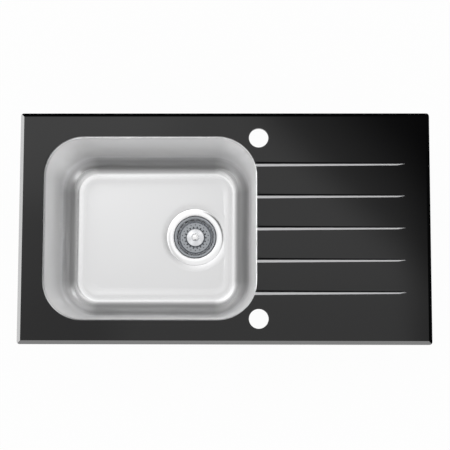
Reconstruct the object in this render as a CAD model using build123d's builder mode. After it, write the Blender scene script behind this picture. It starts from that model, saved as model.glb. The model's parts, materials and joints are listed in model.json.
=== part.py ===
"""Inset kitchen sink: bevelled glass top with a drawn steel bowl, a grooved drainer and a basket strainer waste.

Units are millimetres. +Z is up, +X runs along the long side towards the drainer and +Y towards the wall.
The origin is the centre of the glass outline, at the height of the worktop's upper face, which is
where the sealing tape under the glass comes to rest.
"""
import os
from math import cos, radians, sin

from build123d import *

os.makedirs("parts", exist_ok=True)

# Sealing tape between the glass and the worktop
seal_thickness = 2.0
seal_width = 6.0
seal_inset = 2.0

# Glass top
glass_length = 780.0
glass_width = 440.0
glass_thickness = 8.0
glass_corner = 6.0
bevel_width = 7.0
bevel_drop = 4.5
arris = 0.5

# Opening in the glass for the bowl
opening_length = 406.0
opening_side_margin = 45.0
opening_corner = 76.0
opening_left_margin = 46.0

# Tap holes, one behind and one in front of the bowl's right corners
tap_hole_diameter = 37.0
tap_hole_offset = 3.0
tap_hole_margin = 48.0
tap_nut_radius = 28.0

# Drainer grooves: a shallow front wall and a steeper back wall that meet in a line
groove_count = 5
groove_pitch = 61.0
groove_end_margin = 48.0
groove_point_length = 14.0
groove_front_wall = 5.8
groove_back_wall = 4.2
groove_depth = 2.2
groove_tip_share = 0.48

# Drawn steel bowl
bowl_sheet = 0.9
bowl_lip = 2.5
bowl_flange = 10.0
bowl_rim_radius = 4.0
bowl_collar = 5.0
bowl_depth = 185.0
wall_draft = 10.0
floor_radius = 38.0
bond_thickness = 1.0

# Waste recess pressed into the floor of the bowl
waste_margin = 124.0
recess_depth = 3.0
recess_radius = 58.6
recess_slope = 12.0
recess_lap = 1.0
waste_hole_radius = 45.6

# Waste dish, the steel cup that the strainer sits in
dish_sheet = 1.0
dish_radius = 57.2
dish_edge_drop = 0.8
dish_edge_width = 1.6
dish_throat_radius = 43.8
dish_throat_edge = 1.4
dish_wall_radius = 43.4
dish_wall_depth = 19.2
dish_seat_radius = 38.6
dish_seat_depth = 24.2
dish_sump_radius = 29.5
dish_sump_taper = 3.5
dish_depth = 34.2
dish_window_count = 8
dish_window_inner_radius = 10.5
dish_window_outer_radius = 22.0
dish_web_width = 3.0

# Rubber rings above and below the sheet of the recess
dish_seal_thickness = 1.2
dish_seal_setback = 1.2
body_seal_thickness = 2.0

# Moulded waste body under the bowl, with a G 1 1/2 outlet
body_flange_radius = 55.0
body_flange_thickness = 4.0
body_wall = 3.0
body_gap = 0.9
funnel_height = 14.0
outlet_radius = 23.9
outlet_bore_radius = 19.5
outlet_length = 30.0
hub_radius = 9.0
hub_height = 14.0
spoke_count = 4
spoke_width = 3.5
spoke_height = 9.0
rib_count = 12
rib_width = 2.5
rib_height = 22.0
rib_setback = 1.5

# Centre screw that draws the dish and the body together
screw_radius = 3.0
screw_head_radius = 5.8
screw_neck_radius = 4.8
screw_neck_height = 2.0
screw_head_height = 5.5
screw_slot_width = 1.4
screw_slot_depth = 1.6
insert_across_flats = 10.0
insert_height = 6.0
thread_clearance = 0.05

# Strainer basket
basket_sheet = 0.8
basket_radius = 42.0
basket_rim_drop = 2.6
basket_rim_width = 3.4
basket_rim_fall = 0.7
basket_wall_foot_radius = 33.4
basket_floor_drop = 16.5
basket_shoulder_radius = 30.8
basket_shoulder_rise = 2.0
cap_foot_radius = 19.4
cap_radius = 17.4
cap_drop = 9.4
cap_flat_radius = 9.0
cap_flat_rise = 1.6
cap_edge = 0.9
slot_count = 18
slot_length = 9.0
slot_end_length = 2.0
slot_width = 2.4
slot_ring_radius = 36.3
floor_hole_count = 18
floor_hole_radius = 1.6
floor_hole_ring_radius = 21.5
middle_hole_radius = 1.0
middle_hole_ring_radius = 26.5
hole_sides = 6

# Stem, knob and seal carried by the basket
stem_radius = 2.5
stem_top_drop = 2.4
rivet_radius = 5.0
rivet_height = 1.3
spacer_radius = 5.0
knob_radius = 6.8
knob_neck_radius = 4.0
knob_top_rise = 2.6
knob_edge_height = 2.2
knob_crown = 1.0
plate_radius = 31.0
plate_thickness = 1.0
stopper_radius = 35.5
stopper_thickness = 2.5

# Snap socket that holds the basket over the centre screw
socket_radius = 9.0
socket_bore_radius = 6.4
socket_roof = 2.4
socket_foot_gap = 0.5
ring_wire_radius = 0.6
ring_mouth_angle = 50.0
ring_height_share = 0.3

# Clamp rails bonded under the glass
worktop_overlap = 10.0
cutout_gap = 6.0
rail_width = 14.0
rail_height = 9.0
rail_sheet = 1.2
rail_slot = 7.0
rail_end_margin = 30.0
side_rail_margin = 70.0
tap_rail_gap = 7.0

# Clamps: bolt, claw and wing nut
bolt_radius = 3.0
bolt_length = 56.0
bolt_head_width = 11.0
bolt_head_depth = 6.6
bolt_head_height = 3.0
claw_drop = 38.0
claw_sheet = 2.5
claw_width = 16.0
claw_reach = 28.0
claw_lean = 3.0
claw_rise = 8.0
claw_heel = 12.0
claw_heel_rise = 4.0
claw_tooth_count = 3
claw_tooth_width = 2.4
wing_nut_radius = 5.5
wing_nut_height = 6.0
barrel_sides = 8
wing_thickness = 2.0
wing_reach = 13.0
wing_drop = 4.0
wing_root = 1.0

# Sound pad under the bowl and earth tag on its flange
pad_thickness = 2.5
pad_corner = 12.0
pad_gap = 4.0
pad_setback = 11.5
tag_offset = 40.0
tag_arm = 10.0
tag_drop = 20.0
tag_width = 9.0
tag_thickness = 1.0
tag_overlap = 6.0
tag_hole_radius = 2.2

# Running gap between pieces that move past each other, and the overrun of every cut
running_gap = 0.3
overrun = 1.0

# Heights and places that follow from the sizes above
glass_low = seal_thickness
glass_high = glass_low + glass_thickness
flange_high = glass_low - bond_thickness
floor_z = glass_high - bowl_depth
opening_x = -glass_length / 2 + opening_left_margin + opening_length / 2
opening_right = opening_x + opening_length / 2
opening_width = glass_width - 2 * opening_side_margin
tap_hole_x = opening_right + tap_hole_offset
tap_hole_y = glass_width / 2 - tap_hole_margin
groove_end_x = glass_length / 2 - groove_end_margin
bowl_length = opening_length - 2 * bowl_lip
bowl_width = opening_width - 2 * bowl_lip
bowl_corner = opening_corner - bowl_lip
waste_x = opening_right - waste_margin
rail_x = glass_length / 2 - worktop_overlap - cutout_gap - rail_width / 2
rail_y = glass_width / 2 - worktop_overlap - cutout_gap - rail_width / 2
side_rail_length = glass_width - 2 * side_rail_margin
rail_high = glass_low - bond_thickness
rail_low = rail_high - rail_height

waste_axis = Axis((waste_x, 0, 0), (0, 0, 1))


def waste_level(drop):
    """Level plane on the waste's axis, this far below the floor of the bowl."""
    return Plane(origin=(waste_x, 0, floor_z - drop), z_dir=(0, 0, 1))


def upright(x, y, z, angle=0.0):
    """Upright plane at a point: its first axis runs along the level heading, its second one is up."""
    heading = radians(angle)
    return Plane(origin=(x, y, z), x_dir=(cos(heading), sin(heading), 0),
                 z_dir=(sin(heading), -cos(heading), 0))


def turned_sheet(corners, sheet):
    """Adds a turned sheet whose upper skin runs through (radius, drop) corners, from the rim inwards."""
    with BuildSketch(upright(waste_x, 0, floor_z)) as section:
        with BuildLine():
            Polyline(*[(radius, -drop) for radius, drop in corners])
            offset(amount=sheet, kind=Kind.INTERSECTION, side=Side.LEFT)
        make_face()
    revolve(section.sketch, axis=waste_axis)


def turned_solid(points):
    """Adds a turned solid whose half section joins the (radius, drop) points by straight lines."""
    with BuildSketch(upright(waste_x, 0, floor_z)) as section:
        with BuildLine():
            Polyline(*[(radius, -drop) for radius, drop in points], close=True)
        make_face()
    revolve(section.sketch, axis=waste_axis)


def turned_ring(inner, outer, high, low):
    """Adds a flat ring on the waste's axis between two radii and two drops below the bowl's floor."""
    with BuildSketch(waste_level(low)) as ring:
        Circle(outer)
        Circle(inner, mode=Mode.SUBTRACT)
    extrude(ring.sketch, amount=low - high)


def finish(piece, name):
    """Labels a finished sub-part and writes it out."""
    piece.part.label = name
    export_step(piece.part, f"parts/{name}.step")


# Blank that gives the glass its four bevels, which meet in mitres
with BuildPart() as bevelled_blank:
    with BuildSketch(Plane.XY.offset(glass_low)):
        Rectangle(glass_length, glass_width)
    extrude(amount=glass_thickness)
    blank_top = bevelled_blank.faces().sort_by(Axis.Z)[-1]
    chamfer(blank_top.edges(), length=bevel_width, length2=bevel_drop, reference=blank_top)

# Glass top: bevelled on all four sides, cut out for the bowl and the two tap holes
with BuildPart() as glass_top:
    with BuildSketch(Plane.XY.offset(glass_low)):
        RectangleRounded(glass_length, glass_width, glass_corner)
    extrude(amount=glass_thickness)
    add(bevelled_blank.part, mode=Mode.INTERSECT)
    with BuildSketch(Plane.XY.offset(glass_low)):
        with Locations((opening_x, 0)):
            RectangleRounded(opening_length, opening_width, opening_corner)
        with Locations((tap_hole_x, tap_hole_y), (tap_hole_x, -tap_hole_y)):
            Circle(tap_hole_diameter / 2)
    extrude(amount=glass_thickness, mode=Mode.SUBTRACT)
    chamfer(glass_top.faces().sort_by(Axis.Z)[-1].inner_wires().edges(), length=arris)

    # Each groove is a three-sided wedge that narrows towards its far end and then runs out to a point
    groove_start_x = opening_right - opening_corner
    taper_end_x = groove_end_x - groove_point_length
    for groove in range(groove_count):
        groove_y = (groove - (groove_count - 1) / 2) * groove_pitch
        for near_x, near_share, far_x, far_share in (
            (groove_start_x, 1, taper_end_x, groove_tip_share),
            (taper_end_x, groove_tip_share, groove_end_x, groove_tip_share / groove_point_length),
        ):
            for x, share in ((near_x, near_share), (far_x, far_share)):
                with BuildSketch(Plane(origin=(x, groove_y, glass_high), x_dir=(0, 1, 0), z_dir=(1, 0, 0))):
                    with BuildLine():
                        Polyline((-groove_front_wall * share, 0), (0, -groove_depth * share),
                                 (groove_back_wall * share, 0), (groove_back_wall * share, arris),
                                 (-groove_front_wall * share, arris), close=True)
                    make_face()
            loft(ruled=True, mode=Mode.SUBTRACT)
finish(glass_top, "glass_top")

# Sealing tape: one closed strip stuck near the glass edge
with BuildPart() as rim_seal:
    with BuildSketch(Plane.XY):
        RectangleRounded(glass_length - 2 * seal_inset, glass_width - 2 * seal_inset, glass_corner)
        Rectangle(glass_length - 2 * (seal_inset + seal_width), glass_width - 2 * (seal_inset + seal_width),
                  mode=Mode.SUBTRACT)
    extrude(amount=seal_thickness)
finish(rim_seal, "rim_seal")


def pan(high, low, skin, corner_cut):
    """Adds the bowl's form grown by a skin: a straight collar, drafted walls and the rounded foot."""
    collar_low = flange_high - bowl_collar
    with BuildSketch(Plane.XY.offset(collar_low)) as collar:
        with Locations((opening_x, 0)):
            RectangleRounded(bowl_length + 2 * skin, bowl_width + 2 * skin, bowl_corner + skin)
    with BuildSketch(Plane.XY.offset(low)) as foot:
        with Locations((opening_x, 0)):
            RectangleRounded(bowl_length + 2 * (skin - wall_draft), bowl_width + 2 * (skin - wall_draft),
                             bowl_corner + skin)
    pan_part = loft([collar.sketch.face(), foot.sketch.face()], ruled=True)
    fillet(pan_part.faces().sort_by(Axis.Z)[0].edges(), radius=corner_cut)
    extrude(collar.sketch, amount=high - collar_low)


# Room inside the bowl: drafted walls running into the floor by a large radius
with BuildPart() as bowl_room:
    pan(flange_high, floor_z, 0, floor_radius)

# Bowl: drawn pan with drafted walls, a large floor radius and a flange that is bonded under the glass
with BuildPart() as bowl:
    pan(flange_high, floor_z - bowl_sheet, bowl_sheet, floor_radius + bowl_sheet)
    with BuildSketch(Plane.XY.offset(flange_high - bowl_sheet)):
        with Locations((opening_x, 0)):
            RectangleRounded(opening_length + 2 * bowl_flange, opening_width + 2 * bowl_flange,
                             opening_corner + bowl_flange)
    extrude(amount=bowl_sheet)
    flange_under = bowl.faces().filter_by(Axis.Z).sort_by(Axis.Z)[-2]
    chamfer(flange_under.inner_wires().edges(), length=(bowl_rim_radius - bowl_sheet) / 2)
    add(bowl_room.part, mode=Mode.SUBTRACT)
    fillet(bowl.faces().filter_by(Axis.Z).sort_by(Axis.Z)[-1].inner_wires().edges(), radius=bowl_rim_radius)
    with BuildSketch(waste_level(bowl_sheet)):
        Circle(recess_radius + recess_slope)
    extrude(amount=bowl_sheet, mode=Mode.SUBTRACT)
    turned_sheet([(recess_radius + recess_slope + recess_lap, 0), (recess_radius + recess_slope, 0),
                  (recess_radius, recess_depth), (waste_hole_radius, recess_depth)], bowl_sheet)
finish(bowl, "bowl")

# Bond between the bowl's flange and the glass
with BuildPart() as bowl_bond:
    with BuildSketch(Plane.XY.offset(flange_high)):
        with Locations((opening_x, 0)):
            RectangleRounded(opening_length + 2 * bowl_flange, opening_width + 2 * bowl_flange,
                             opening_corner + bowl_flange)
            RectangleRounded(bowl_length + 2 * bowl_rim_radius, bowl_width + 2 * bowl_rim_radius,
                             bowl_corner + bowl_rim_radius, mode=Mode.SUBTRACT)
    extrude(amount=bond_thickness)
finish(bowl_bond, "bowl_bond")

# Sound pad stuck under the floor of the bowl, beside the waste
with BuildPart() as sound_pad:
    foot_inset = wall_draft + floor_radius + pad_setback
    pad_left = opening_x - bowl_length / 2 + foot_inset
    pad_length = waste_x - recess_radius - recess_slope - pad_gap - pad_left
    pad_width = bowl_width - 2 * foot_inset
    with BuildSketch(Plane.XY.offset(floor_z - bowl_sheet - pad_thickness)):
        with Locations((pad_left + pad_length / 2, 0)):
            RectangleRounded(pad_length, pad_width, pad_corner)
    extrude(amount=pad_thickness)
finish(sound_pad, "sound_pad")

# Earth tag: an angle spot welded under the bowl's flange, drilled in its hanging leg
with BuildPart() as earth_tag:
    tag_high = flange_high - bowl_sheet
    tag_x = opening_right + bowl_flange - tag_overlap
    tag_hole_z = tag_high - tag_drop + tag_width / 2
    with BuildSketch(upright(tag_x, tag_offset, tag_high)):
        with BuildLine():
            Polyline((0, 0), (tag_arm, 0), (tag_arm, -tag_drop), (tag_arm - tag_thickness, -tag_drop),
                     (tag_arm - tag_thickness, -tag_thickness), (0, -tag_thickness), close=True)
        make_face()
    extrude(amount=tag_width / 2, both=True)
    fillet(earth_tag.edges().filter_by(Axis.X).group_by(Axis.Z)[0], radius=tag_width / 2 - tag_thickness)
    with BuildSketch(upright(tag_x, tag_offset, tag_hole_z, 90)):
        Circle(tag_hole_radius)
    extrude(amount=tag_arm, mode=Mode.SUBTRACT)
finish(earth_tag, "earth_tag")

# Waste dish: a pressed cup with a flat flange, a sealing seat and a windowed sump
dish_top = recess_depth - dish_seal_thickness - dish_sheet
dish_floor = dish_top + dish_depth
dish_seat = dish_top + dish_seat_depth
with BuildPart() as waste_dish:
    turned_sheet([(dish_radius, dish_top + dish_edge_drop), (dish_radius - dish_edge_width, dish_top),
                  (dish_throat_radius + dish_throat_edge, dish_top),
                  (dish_throat_radius, dish_top + dish_throat_edge),
                  (dish_wall_radius, dish_top + dish_wall_depth), (dish_seat_radius, dish_seat),
                  (dish_sump_radius, dish_seat), (dish_sump_radius - dish_sump_taper, dish_floor),
                  (screw_radius + thread_clearance, dish_floor)], dish_sheet)
    window_half_angle = radians(180 / dish_window_count)
    inner_half = dish_window_inner_radius * sin(window_half_angle) - dish_web_width / 2
    outer_half = dish_window_outer_radius * sin(window_half_angle) - dish_web_width / 2
    with BuildSketch(waste_level(dish_floor + dish_sheet + overrun)):
        with PolarLocations(0, dish_window_count):
            Polygon((dish_window_inner_radius, -inner_half), (dish_window_outer_radius, -outer_half),
                    (dish_window_outer_radius, outer_half), (dish_window_inner_radius, inner_half), align=None)
    extrude(amount=dish_sheet + 2 * overrun, mode=Mode.SUBTRACT)
finish(waste_dish, "waste_dish")

# Rubber ring between the dish's flange and the recess, and the thicker one under the recess
with BuildPart() as dish_seal:
    turned_ring(waste_hole_radius + dish_seal_setback, dish_radius - dish_edge_width - dish_sheet,
                recess_depth - dish_seal_thickness, recess_depth)
finish(dish_seal, "dish_seal")

body_high = recess_depth + bowl_sheet + body_seal_thickness
body_bore = waste_hole_radius + body_gap
with BuildPart() as body_seal:
    turned_ring(body_bore, body_flange_radius, recess_depth + bowl_sheet, body_high)
finish(body_seal, "body_seal")

# Waste body: flanged cup, funnel and threaded outlet, with a spoked hub and outside ribs
hub_high = dish_floor + dish_sheet
hub_low = hub_high + hub_height
funnel_high = hub_low - spoke_height
funnel_low = funnel_high + funnel_height
outlet_low = funnel_low + outlet_length
with BuildPart() as body_room:
    turned_solid([(0, body_high), (body_bore, body_high), (body_bore, funnel_high),
                  (outlet_bore_radius, funnel_low), (outlet_bore_radius, outlet_low), (0, outlet_low)])
    with BuildSketch(waste_level(hub_low)):
        Circle(hub_radius)
    extrude(amount=hub_height, mode=Mode.SUBTRACT)
    with BuildSketch(waste_level(hub_low)):
        with PolarLocations(0, spoke_count):
            Rectangle(2 * body_bore + body_wall, spoke_width)
    extrude(amount=spoke_height, mode=Mode.SUBTRACT)

with BuildPart() as waste_body:
    turned_solid([(0, body_high), (body_flange_radius, body_high),
                  (body_flange_radius, body_high + body_flange_thickness),
                  (body_bore + body_wall, body_high + body_flange_thickness),
                  (body_bore + body_wall, funnel_high), (outlet_radius, funnel_low),
                  (outlet_radius, outlet_low), (0, outlet_low)])
    rib_reach = body_flange_radius - rib_setback
    with BuildSketch(waste_level(body_high + body_flange_thickness + rib_height)):
        with PolarLocations((body_bore + rib_reach) / 2, rib_count):
            Rectangle(rib_reach - body_bore, rib_width)
    extrude(amount=rib_height + body_flange_thickness / 2)
    add(body_room.part, mode=Mode.SUBTRACT)
    with BuildSketch(waste_level(hub_low)):
        Circle(screw_radius + thread_clearance)
    extrude(amount=hub_height, mode=Mode.SUBTRACT)
    with BuildSketch(waste_level(hub_low)):
        RegularPolygon(insert_across_flats / 2, 6, major_radius=False)
    extrude(amount=insert_height, mode=Mode.SUBTRACT)
finish(waste_body, "waste_body")

# Brass insert in the hub of the body
with BuildPart() as body_insert:
    with BuildSketch(waste_level(hub_low)):
        RegularPolygon(insert_across_flats / 2, 6, major_radius=False)
        Circle(screw_radius + thread_clearance, mode=Mode.SUBTRACT)
    extrude(amount=insert_height)
finish(body_insert, "body_insert")

# Centre screw: mushroom head over a neck, slotted across the top
screw_top = dish_floor - screw_head_height
with BuildPart() as centre_screw:
    turned_solid([(0, screw_top), (screw_neck_radius, screw_top),
                  (screw_head_radius, screw_top + (screw_head_height - screw_neck_height) / 2),
                  (screw_neck_radius, dish_floor - screw_neck_height), (screw_neck_radius, dish_floor),
                  (screw_radius, dish_floor), (screw_radius, hub_low), (0, hub_low)])
    with BuildSketch(waste_level(screw_top)):
        Rectangle(2 * screw_head_radius, screw_slot_width)
    extrude(amount=-screw_slot_depth, mode=Mode.SUBTRACT)
finish(centre_screw, "centre_screw")

# Basket cup: pressed sheet with a slotted wall, two rings of holes and a raised cap in the middle
cap_flat = cap_drop - cap_flat_rise
with BuildPart() as basket_cup:
    turned_sheet([(basket_radius, basket_rim_drop),
                  (basket_radius - basket_rim_width, basket_rim_drop + basket_rim_fall),
                  (basket_wall_foot_radius, basket_floor_drop - basket_shoulder_rise),
                  (basket_shoulder_radius, basket_floor_drop), (cap_foot_radius, basket_floor_drop),
                  (cap_radius, cap_drop + cap_edge), (cap_radius - cap_edge, cap_drop),
                  (cap_flat_radius, cap_flat), (stem_radius + thread_clearance, cap_flat)], basket_sheet)
    straight_half = slot_length / 2 - slot_end_length
    with BuildSketch(waste_level(basket_floor_drop - basket_shoulder_rise)):
        with PolarLocations(slot_ring_radius, slot_count):
            Polygon((0, -slot_length / 2), (slot_width / 2, -straight_half), (slot_width / 2, straight_half),
                    (0, slot_length / 2), (-slot_width / 2, straight_half), (-slot_width / 2, -straight_half),
                    align=None)
    extrude(amount=basket_floor_drop - basket_shoulder_rise, mode=Mode.SUBTRACT)
    with BuildSketch(waste_level(basket_floor_drop + basket_sheet + overrun)):
        with PolarLocations(floor_hole_ring_radius, floor_hole_count):
            RegularPolygon(floor_hole_radius, hole_sides)
        with PolarLocations(middle_hole_ring_radius, floor_hole_count, start_angle=180 / floor_hole_count):
            RegularPolygon(middle_hole_radius, hole_sides)
    extrude(amount=basket_sheet + 2 * overrun, mode=Mode.SUBTRACT)
finish(basket_cup, "basket_cup")

# Knob on top of the cap, with a blind hole for the stem
with BuildPart() as basket_knob:
    with BuildSketch(upright(waste_x, 0, floor_z)):
        with BuildLine():
            knob_shoulder = knob_top_rise - knob_crown
            Polyline((0, knob_top_rise), (0, -cap_flat), (knob_neck_radius, -cap_flat),
                     (knob_neck_radius, knob_shoulder - 2 * knob_edge_height),
                     (knob_radius, knob_shoulder - knob_edge_height), (knob_radius, knob_shoulder))
            TangentArc((0, knob_top_rise), (knob_radius, knob_shoulder), tangent=(1, 0))
        make_face()
    revolve(axis=waste_axis)
    with BuildSketch(waste_level(cap_flat)):
        Circle(stem_radius + thread_clearance)
    extrude(amount=cap_flat - stem_top_drop, mode=Mode.SUBTRACT)
finish(basket_knob, "basket_knob")

# Spacer sleeve under the cap, then the pressure plate and the rubber stopper
stopper_low = dish_seat - running_gap
stopper_high = stopper_low - stopper_thickness
plate_high = stopper_high - plate_thickness
with BuildPart() as stem_spacer:
    turned_ring(stem_radius + thread_clearance, spacer_radius, cap_flat + basket_sheet, plate_high)
finish(stem_spacer, "stem_spacer")

with BuildPart() as pressure_plate:
    turned_ring(stem_radius + thread_clearance, plate_radius, plate_high, stopper_high)
finish(pressure_plate, "pressure_plate")

with BuildPart() as stopper_seal:
    turned_ring(socket_radius + running_gap, stopper_radius, stopper_high, stopper_low)
finish(stopper_seal, "stopper_seal")

# Stem: runs from the knob to a rivet head inside the snap socket
socket_high = stopper_high + running_gap
rivet_high = socket_high + socket_roof + running_gap
with BuildPart() as basket_stem:
    turned_solid([(0, stem_top_drop), (stem_radius, stem_top_drop), (stem_radius, rivet_high),
                  (rivet_radius, rivet_high), (rivet_radius, rivet_high + rivet_height),
                  (0, rivet_high + rivet_height)])
finish(basket_stem, "basket_stem")

# Snap socket: a cap that turns on the stem, with a groove for the spring ring
socket_low = dish_floor - socket_foot_gap
ring_drop = socket_high + (1 - ring_height_share) * (socket_low - socket_high)
ring_radius = socket_bore_radius + ring_wire_radius
groove_radius = ring_radius + ring_wire_radius + thread_clearance
with BuildPart() as snap_socket:
    turned_ring(stem_radius + running_gap, socket_radius, socket_high, socket_low)
    turned_bore = rivet_high - running_gap
    with BuildSketch(waste_level(socket_low)):
        Circle(socket_bore_radius)
    extrude(amount=socket_low - turned_bore, mode=Mode.SUBTRACT)
    with BuildSketch(waste_level(ring_drop + ring_wire_radius + thread_clearance)):
        Circle(groove_radius)
    extrude(amount=2 * (ring_wire_radius + thread_clearance), mode=Mode.SUBTRACT)
finish(snap_socket, "snap_socket")

# Spring ring: an open ring of square wire in the groove
with BuildPart() as spring_ring:
    with BuildSketch(upright(waste_x + ring_radius, 0, floor_z - ring_drop)):
        Rectangle(2 * ring_wire_radius, 2 * ring_wire_radius)
    revolve(axis=waste_axis, revolution_arc=360 - ring_mouth_angle)
finish(spring_ring, "spring_ring")

# Clamp stations: middle of each rail, the heading that faces outwards, and the rail's length
rail_end_x = glass_length / 2 - worktop_overlap - rail_end_margin
tap_clear = tap_nut_radius + tap_rail_gap
bowl_rail_length = tap_hole_x - tap_clear + rail_end_x
drainer_rail_length = rail_end_x - tap_hole_x - tap_clear
bowl_rail_x = -rail_end_x + bowl_rail_length / 2
drainer_rail_x = rail_end_x - drainer_rail_length / 2
stations = {
    "front_bowl": (bowl_rail_x, -rail_y, -90, bowl_rail_length),
    "back_bowl": (bowl_rail_x, rail_y, 90, bowl_rail_length),
    "front_drainer": (drainer_rail_x, -rail_y, -90, drainer_rail_length),
    "back_drainer": (drainer_rail_x, rail_y, 90, drainer_rail_length),
    "left": (-rail_x, 0, 180, side_rail_length),
    "right": (rail_x, 0, 0, side_rail_length),
}
bolt_high = rail_low + rail_sheet
claw_low = -claw_drop - claw_rise
nut_high = claw_low - running_gap


def level(x, y, z, angle=0.0):
    """Level plane at a point, with its first axis along the heading."""
    heading = radians(angle)
    return Plane(origin=(x, y, z), x_dir=(cos(heading), sin(heading), 0), z_dir=(0, 0, 1))


# Rails: folded channels, open at the bottom, that take the heads of the clamp bolts
for name, (x, y, outward, length) in stations.items():
    with BuildPart() as rail:
        with BuildSketch(upright(x, y, (rail_high + rail_low) / 2, outward)):
            Rectangle(rail_width, rail_height)
            Rectangle(rail_width - 2 * rail_sheet, rail_height - 2 * rail_sheet, mode=Mode.SUBTRACT)
            with Locations((0, -(rail_height - rail_sheet) / 2)):
                Rectangle(rail_slot, rail_sheet, mode=Mode.SUBTRACT)
        extrude(amount=length / 2, both=True)
    finish(rail, f"rail_{name}")

# Bond strips between the rails and the glass
with BuildPart() as rail_bonds:
    for x, y, outward, length in stations.values():
        with BuildSketch(level(x, y, rail_high, outward)):
            Rectangle(rail_width, length)
        extrude(amount=bond_thickness)
finish(rail_bonds, "rail_bonds")

# Clamp bolts: hammer heads inside the rails, rods hanging down
with BuildPart() as clamp_bolts:
    for x, y, outward, length in stations.values():
        with BuildSketch(level(x, y, bolt_high, outward)):
            Rectangle(bolt_head_width, bolt_head_depth)
        extrude(amount=bolt_head_height)
        with BuildSketch(level(x, y, bolt_high, outward)):
            Circle(bolt_radius)
        extrude(amount=-bolt_length)
finish(clamp_bolts, "clamp_bolts")

# Claws, parked along their rails, and the wing nuts that carry them
for name, (x, y, outward, length) in stations.items():
    parked = outward - 90
    with BuildPart() as claw:
        with BuildSketch(upright(x, y, claw_low, parked)):
            with BuildLine():
                Polyline((-claw_heel, claw_heel_rise + claw_sheet), (-claw_heel, 0),
                         (claw_reach - claw_lean, 0), (claw_reach, claw_rise))
                offset(amount=claw_sheet, kind=Kind.INTERSECTION, side=Side.LEFT)
            make_face()
        extrude(amount=claw_width / 2, both=True)
        with BuildSketch(level(x, y, claw_low, parked)):
            Circle(bolt_radius + running_gap)
        extrude(amount=claw_sheet, mode=Mode.SUBTRACT)
        with BuildSketch(upright(x, y, claw_low + claw_rise, parked + 90)):
            with GridLocations(claw_width / claw_tooth_count, 0, claw_tooth_count - 1, 1):
                Rectangle(claw_tooth_width, claw_tooth_width, rotation=45)
        extrude(amount=claw_reach + claw_lean, mode=Mode.SUBTRACT)
    finish(claw, f"claw_{name}")

    with BuildPart() as wing_nut:
        with BuildSketch(level(x, y, nut_high, outward)):
            RegularPolygon(wing_nut_radius, barrel_sides)
        extrude(amount=-wing_nut_height)
        with BuildSketch(upright(x, y, nut_high, outward)):
            for side in (-1, 1):
                Polygon((0, -wing_root), (side * wing_reach, -wing_root - wing_drop),
                        (side * wing_reach, -wing_nut_height - wing_drop), (side * wing_nut_radius,
                                                                            -wing_nut_height), align=None)
        extrude(amount=wing_thickness / 2, both=True)
        with BuildSketch(level(x, y, nut_high)):
            Circle(bolt_radius + running_gap)
        extrude(amount=-bolt_length, mode=Mode.SUBTRACT)
    finish(wing_nut, f"wing_nut_{name}")
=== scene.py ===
"""Visual model of an inset kitchen sink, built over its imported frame.

A black glass top with polished bevels and tapering drainer grooves carries a drawn bowl of satin steel, a
strainer basket in its waste dish, and swing clamps underneath. Lengths are in millimetres and turn into
metres where a mesh is made. +X points to the drainer, +Y to the wall behind the sink and +Z up.
"""
from __future__ import annotations

import json
import logging
from dataclasses import dataclass, field
from enum import Enum
from functools import cache
from math import pi, radians
from typing import Sequence

import bmesh
import bpy
import numpy as np
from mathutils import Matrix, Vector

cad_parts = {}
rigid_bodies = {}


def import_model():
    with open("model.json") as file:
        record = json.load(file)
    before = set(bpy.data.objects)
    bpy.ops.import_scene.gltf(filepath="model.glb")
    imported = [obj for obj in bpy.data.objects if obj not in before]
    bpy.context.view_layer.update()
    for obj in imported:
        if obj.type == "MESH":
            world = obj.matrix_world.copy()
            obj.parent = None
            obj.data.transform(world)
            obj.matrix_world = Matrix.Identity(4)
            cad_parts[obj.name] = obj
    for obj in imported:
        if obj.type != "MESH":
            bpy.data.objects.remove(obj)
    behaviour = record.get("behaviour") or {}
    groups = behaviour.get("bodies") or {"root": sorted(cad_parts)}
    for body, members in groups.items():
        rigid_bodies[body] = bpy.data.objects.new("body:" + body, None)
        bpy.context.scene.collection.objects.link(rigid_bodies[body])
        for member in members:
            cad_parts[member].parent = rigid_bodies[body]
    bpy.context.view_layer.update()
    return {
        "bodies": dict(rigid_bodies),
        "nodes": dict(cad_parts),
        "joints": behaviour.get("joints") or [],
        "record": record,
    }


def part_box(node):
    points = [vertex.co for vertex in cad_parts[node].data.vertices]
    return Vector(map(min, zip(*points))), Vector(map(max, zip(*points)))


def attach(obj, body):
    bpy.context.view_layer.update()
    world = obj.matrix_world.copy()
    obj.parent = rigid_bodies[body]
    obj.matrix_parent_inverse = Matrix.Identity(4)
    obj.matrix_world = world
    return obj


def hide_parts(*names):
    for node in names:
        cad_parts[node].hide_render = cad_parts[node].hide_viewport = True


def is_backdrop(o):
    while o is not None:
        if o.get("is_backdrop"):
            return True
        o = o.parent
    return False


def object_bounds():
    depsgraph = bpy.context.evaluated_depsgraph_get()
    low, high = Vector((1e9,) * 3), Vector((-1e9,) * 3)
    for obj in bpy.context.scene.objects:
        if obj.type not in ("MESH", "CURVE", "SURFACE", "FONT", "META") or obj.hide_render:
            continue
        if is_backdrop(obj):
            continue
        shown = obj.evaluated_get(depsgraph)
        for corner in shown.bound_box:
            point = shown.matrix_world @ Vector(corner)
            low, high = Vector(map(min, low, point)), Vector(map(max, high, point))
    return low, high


LOG = logging.getLogger("kitchen_sink")
MM = 0.001
SHARP = 32.0  # angle in degrees over which an edge stays sharp, where a piece asks for none of its own
SHEET_SHARP = 35.0  # the same for pressed sheets
NO_FADE = (1e3, 2e3)  # lengths in metres that lie past every section, so that a relief fades nowhere
CORNER_MAP = "Corner"  # UV map that says how far round a corner a point lies
Array = np.ndarray
Piece = bpy.types.Object
Tree = bpy.types.NodeTree
Socket = bpy.types.NodeSocket
Corner = tuple[float, float, float]
Feed = Socket | float | tuple[float, ...]


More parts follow.
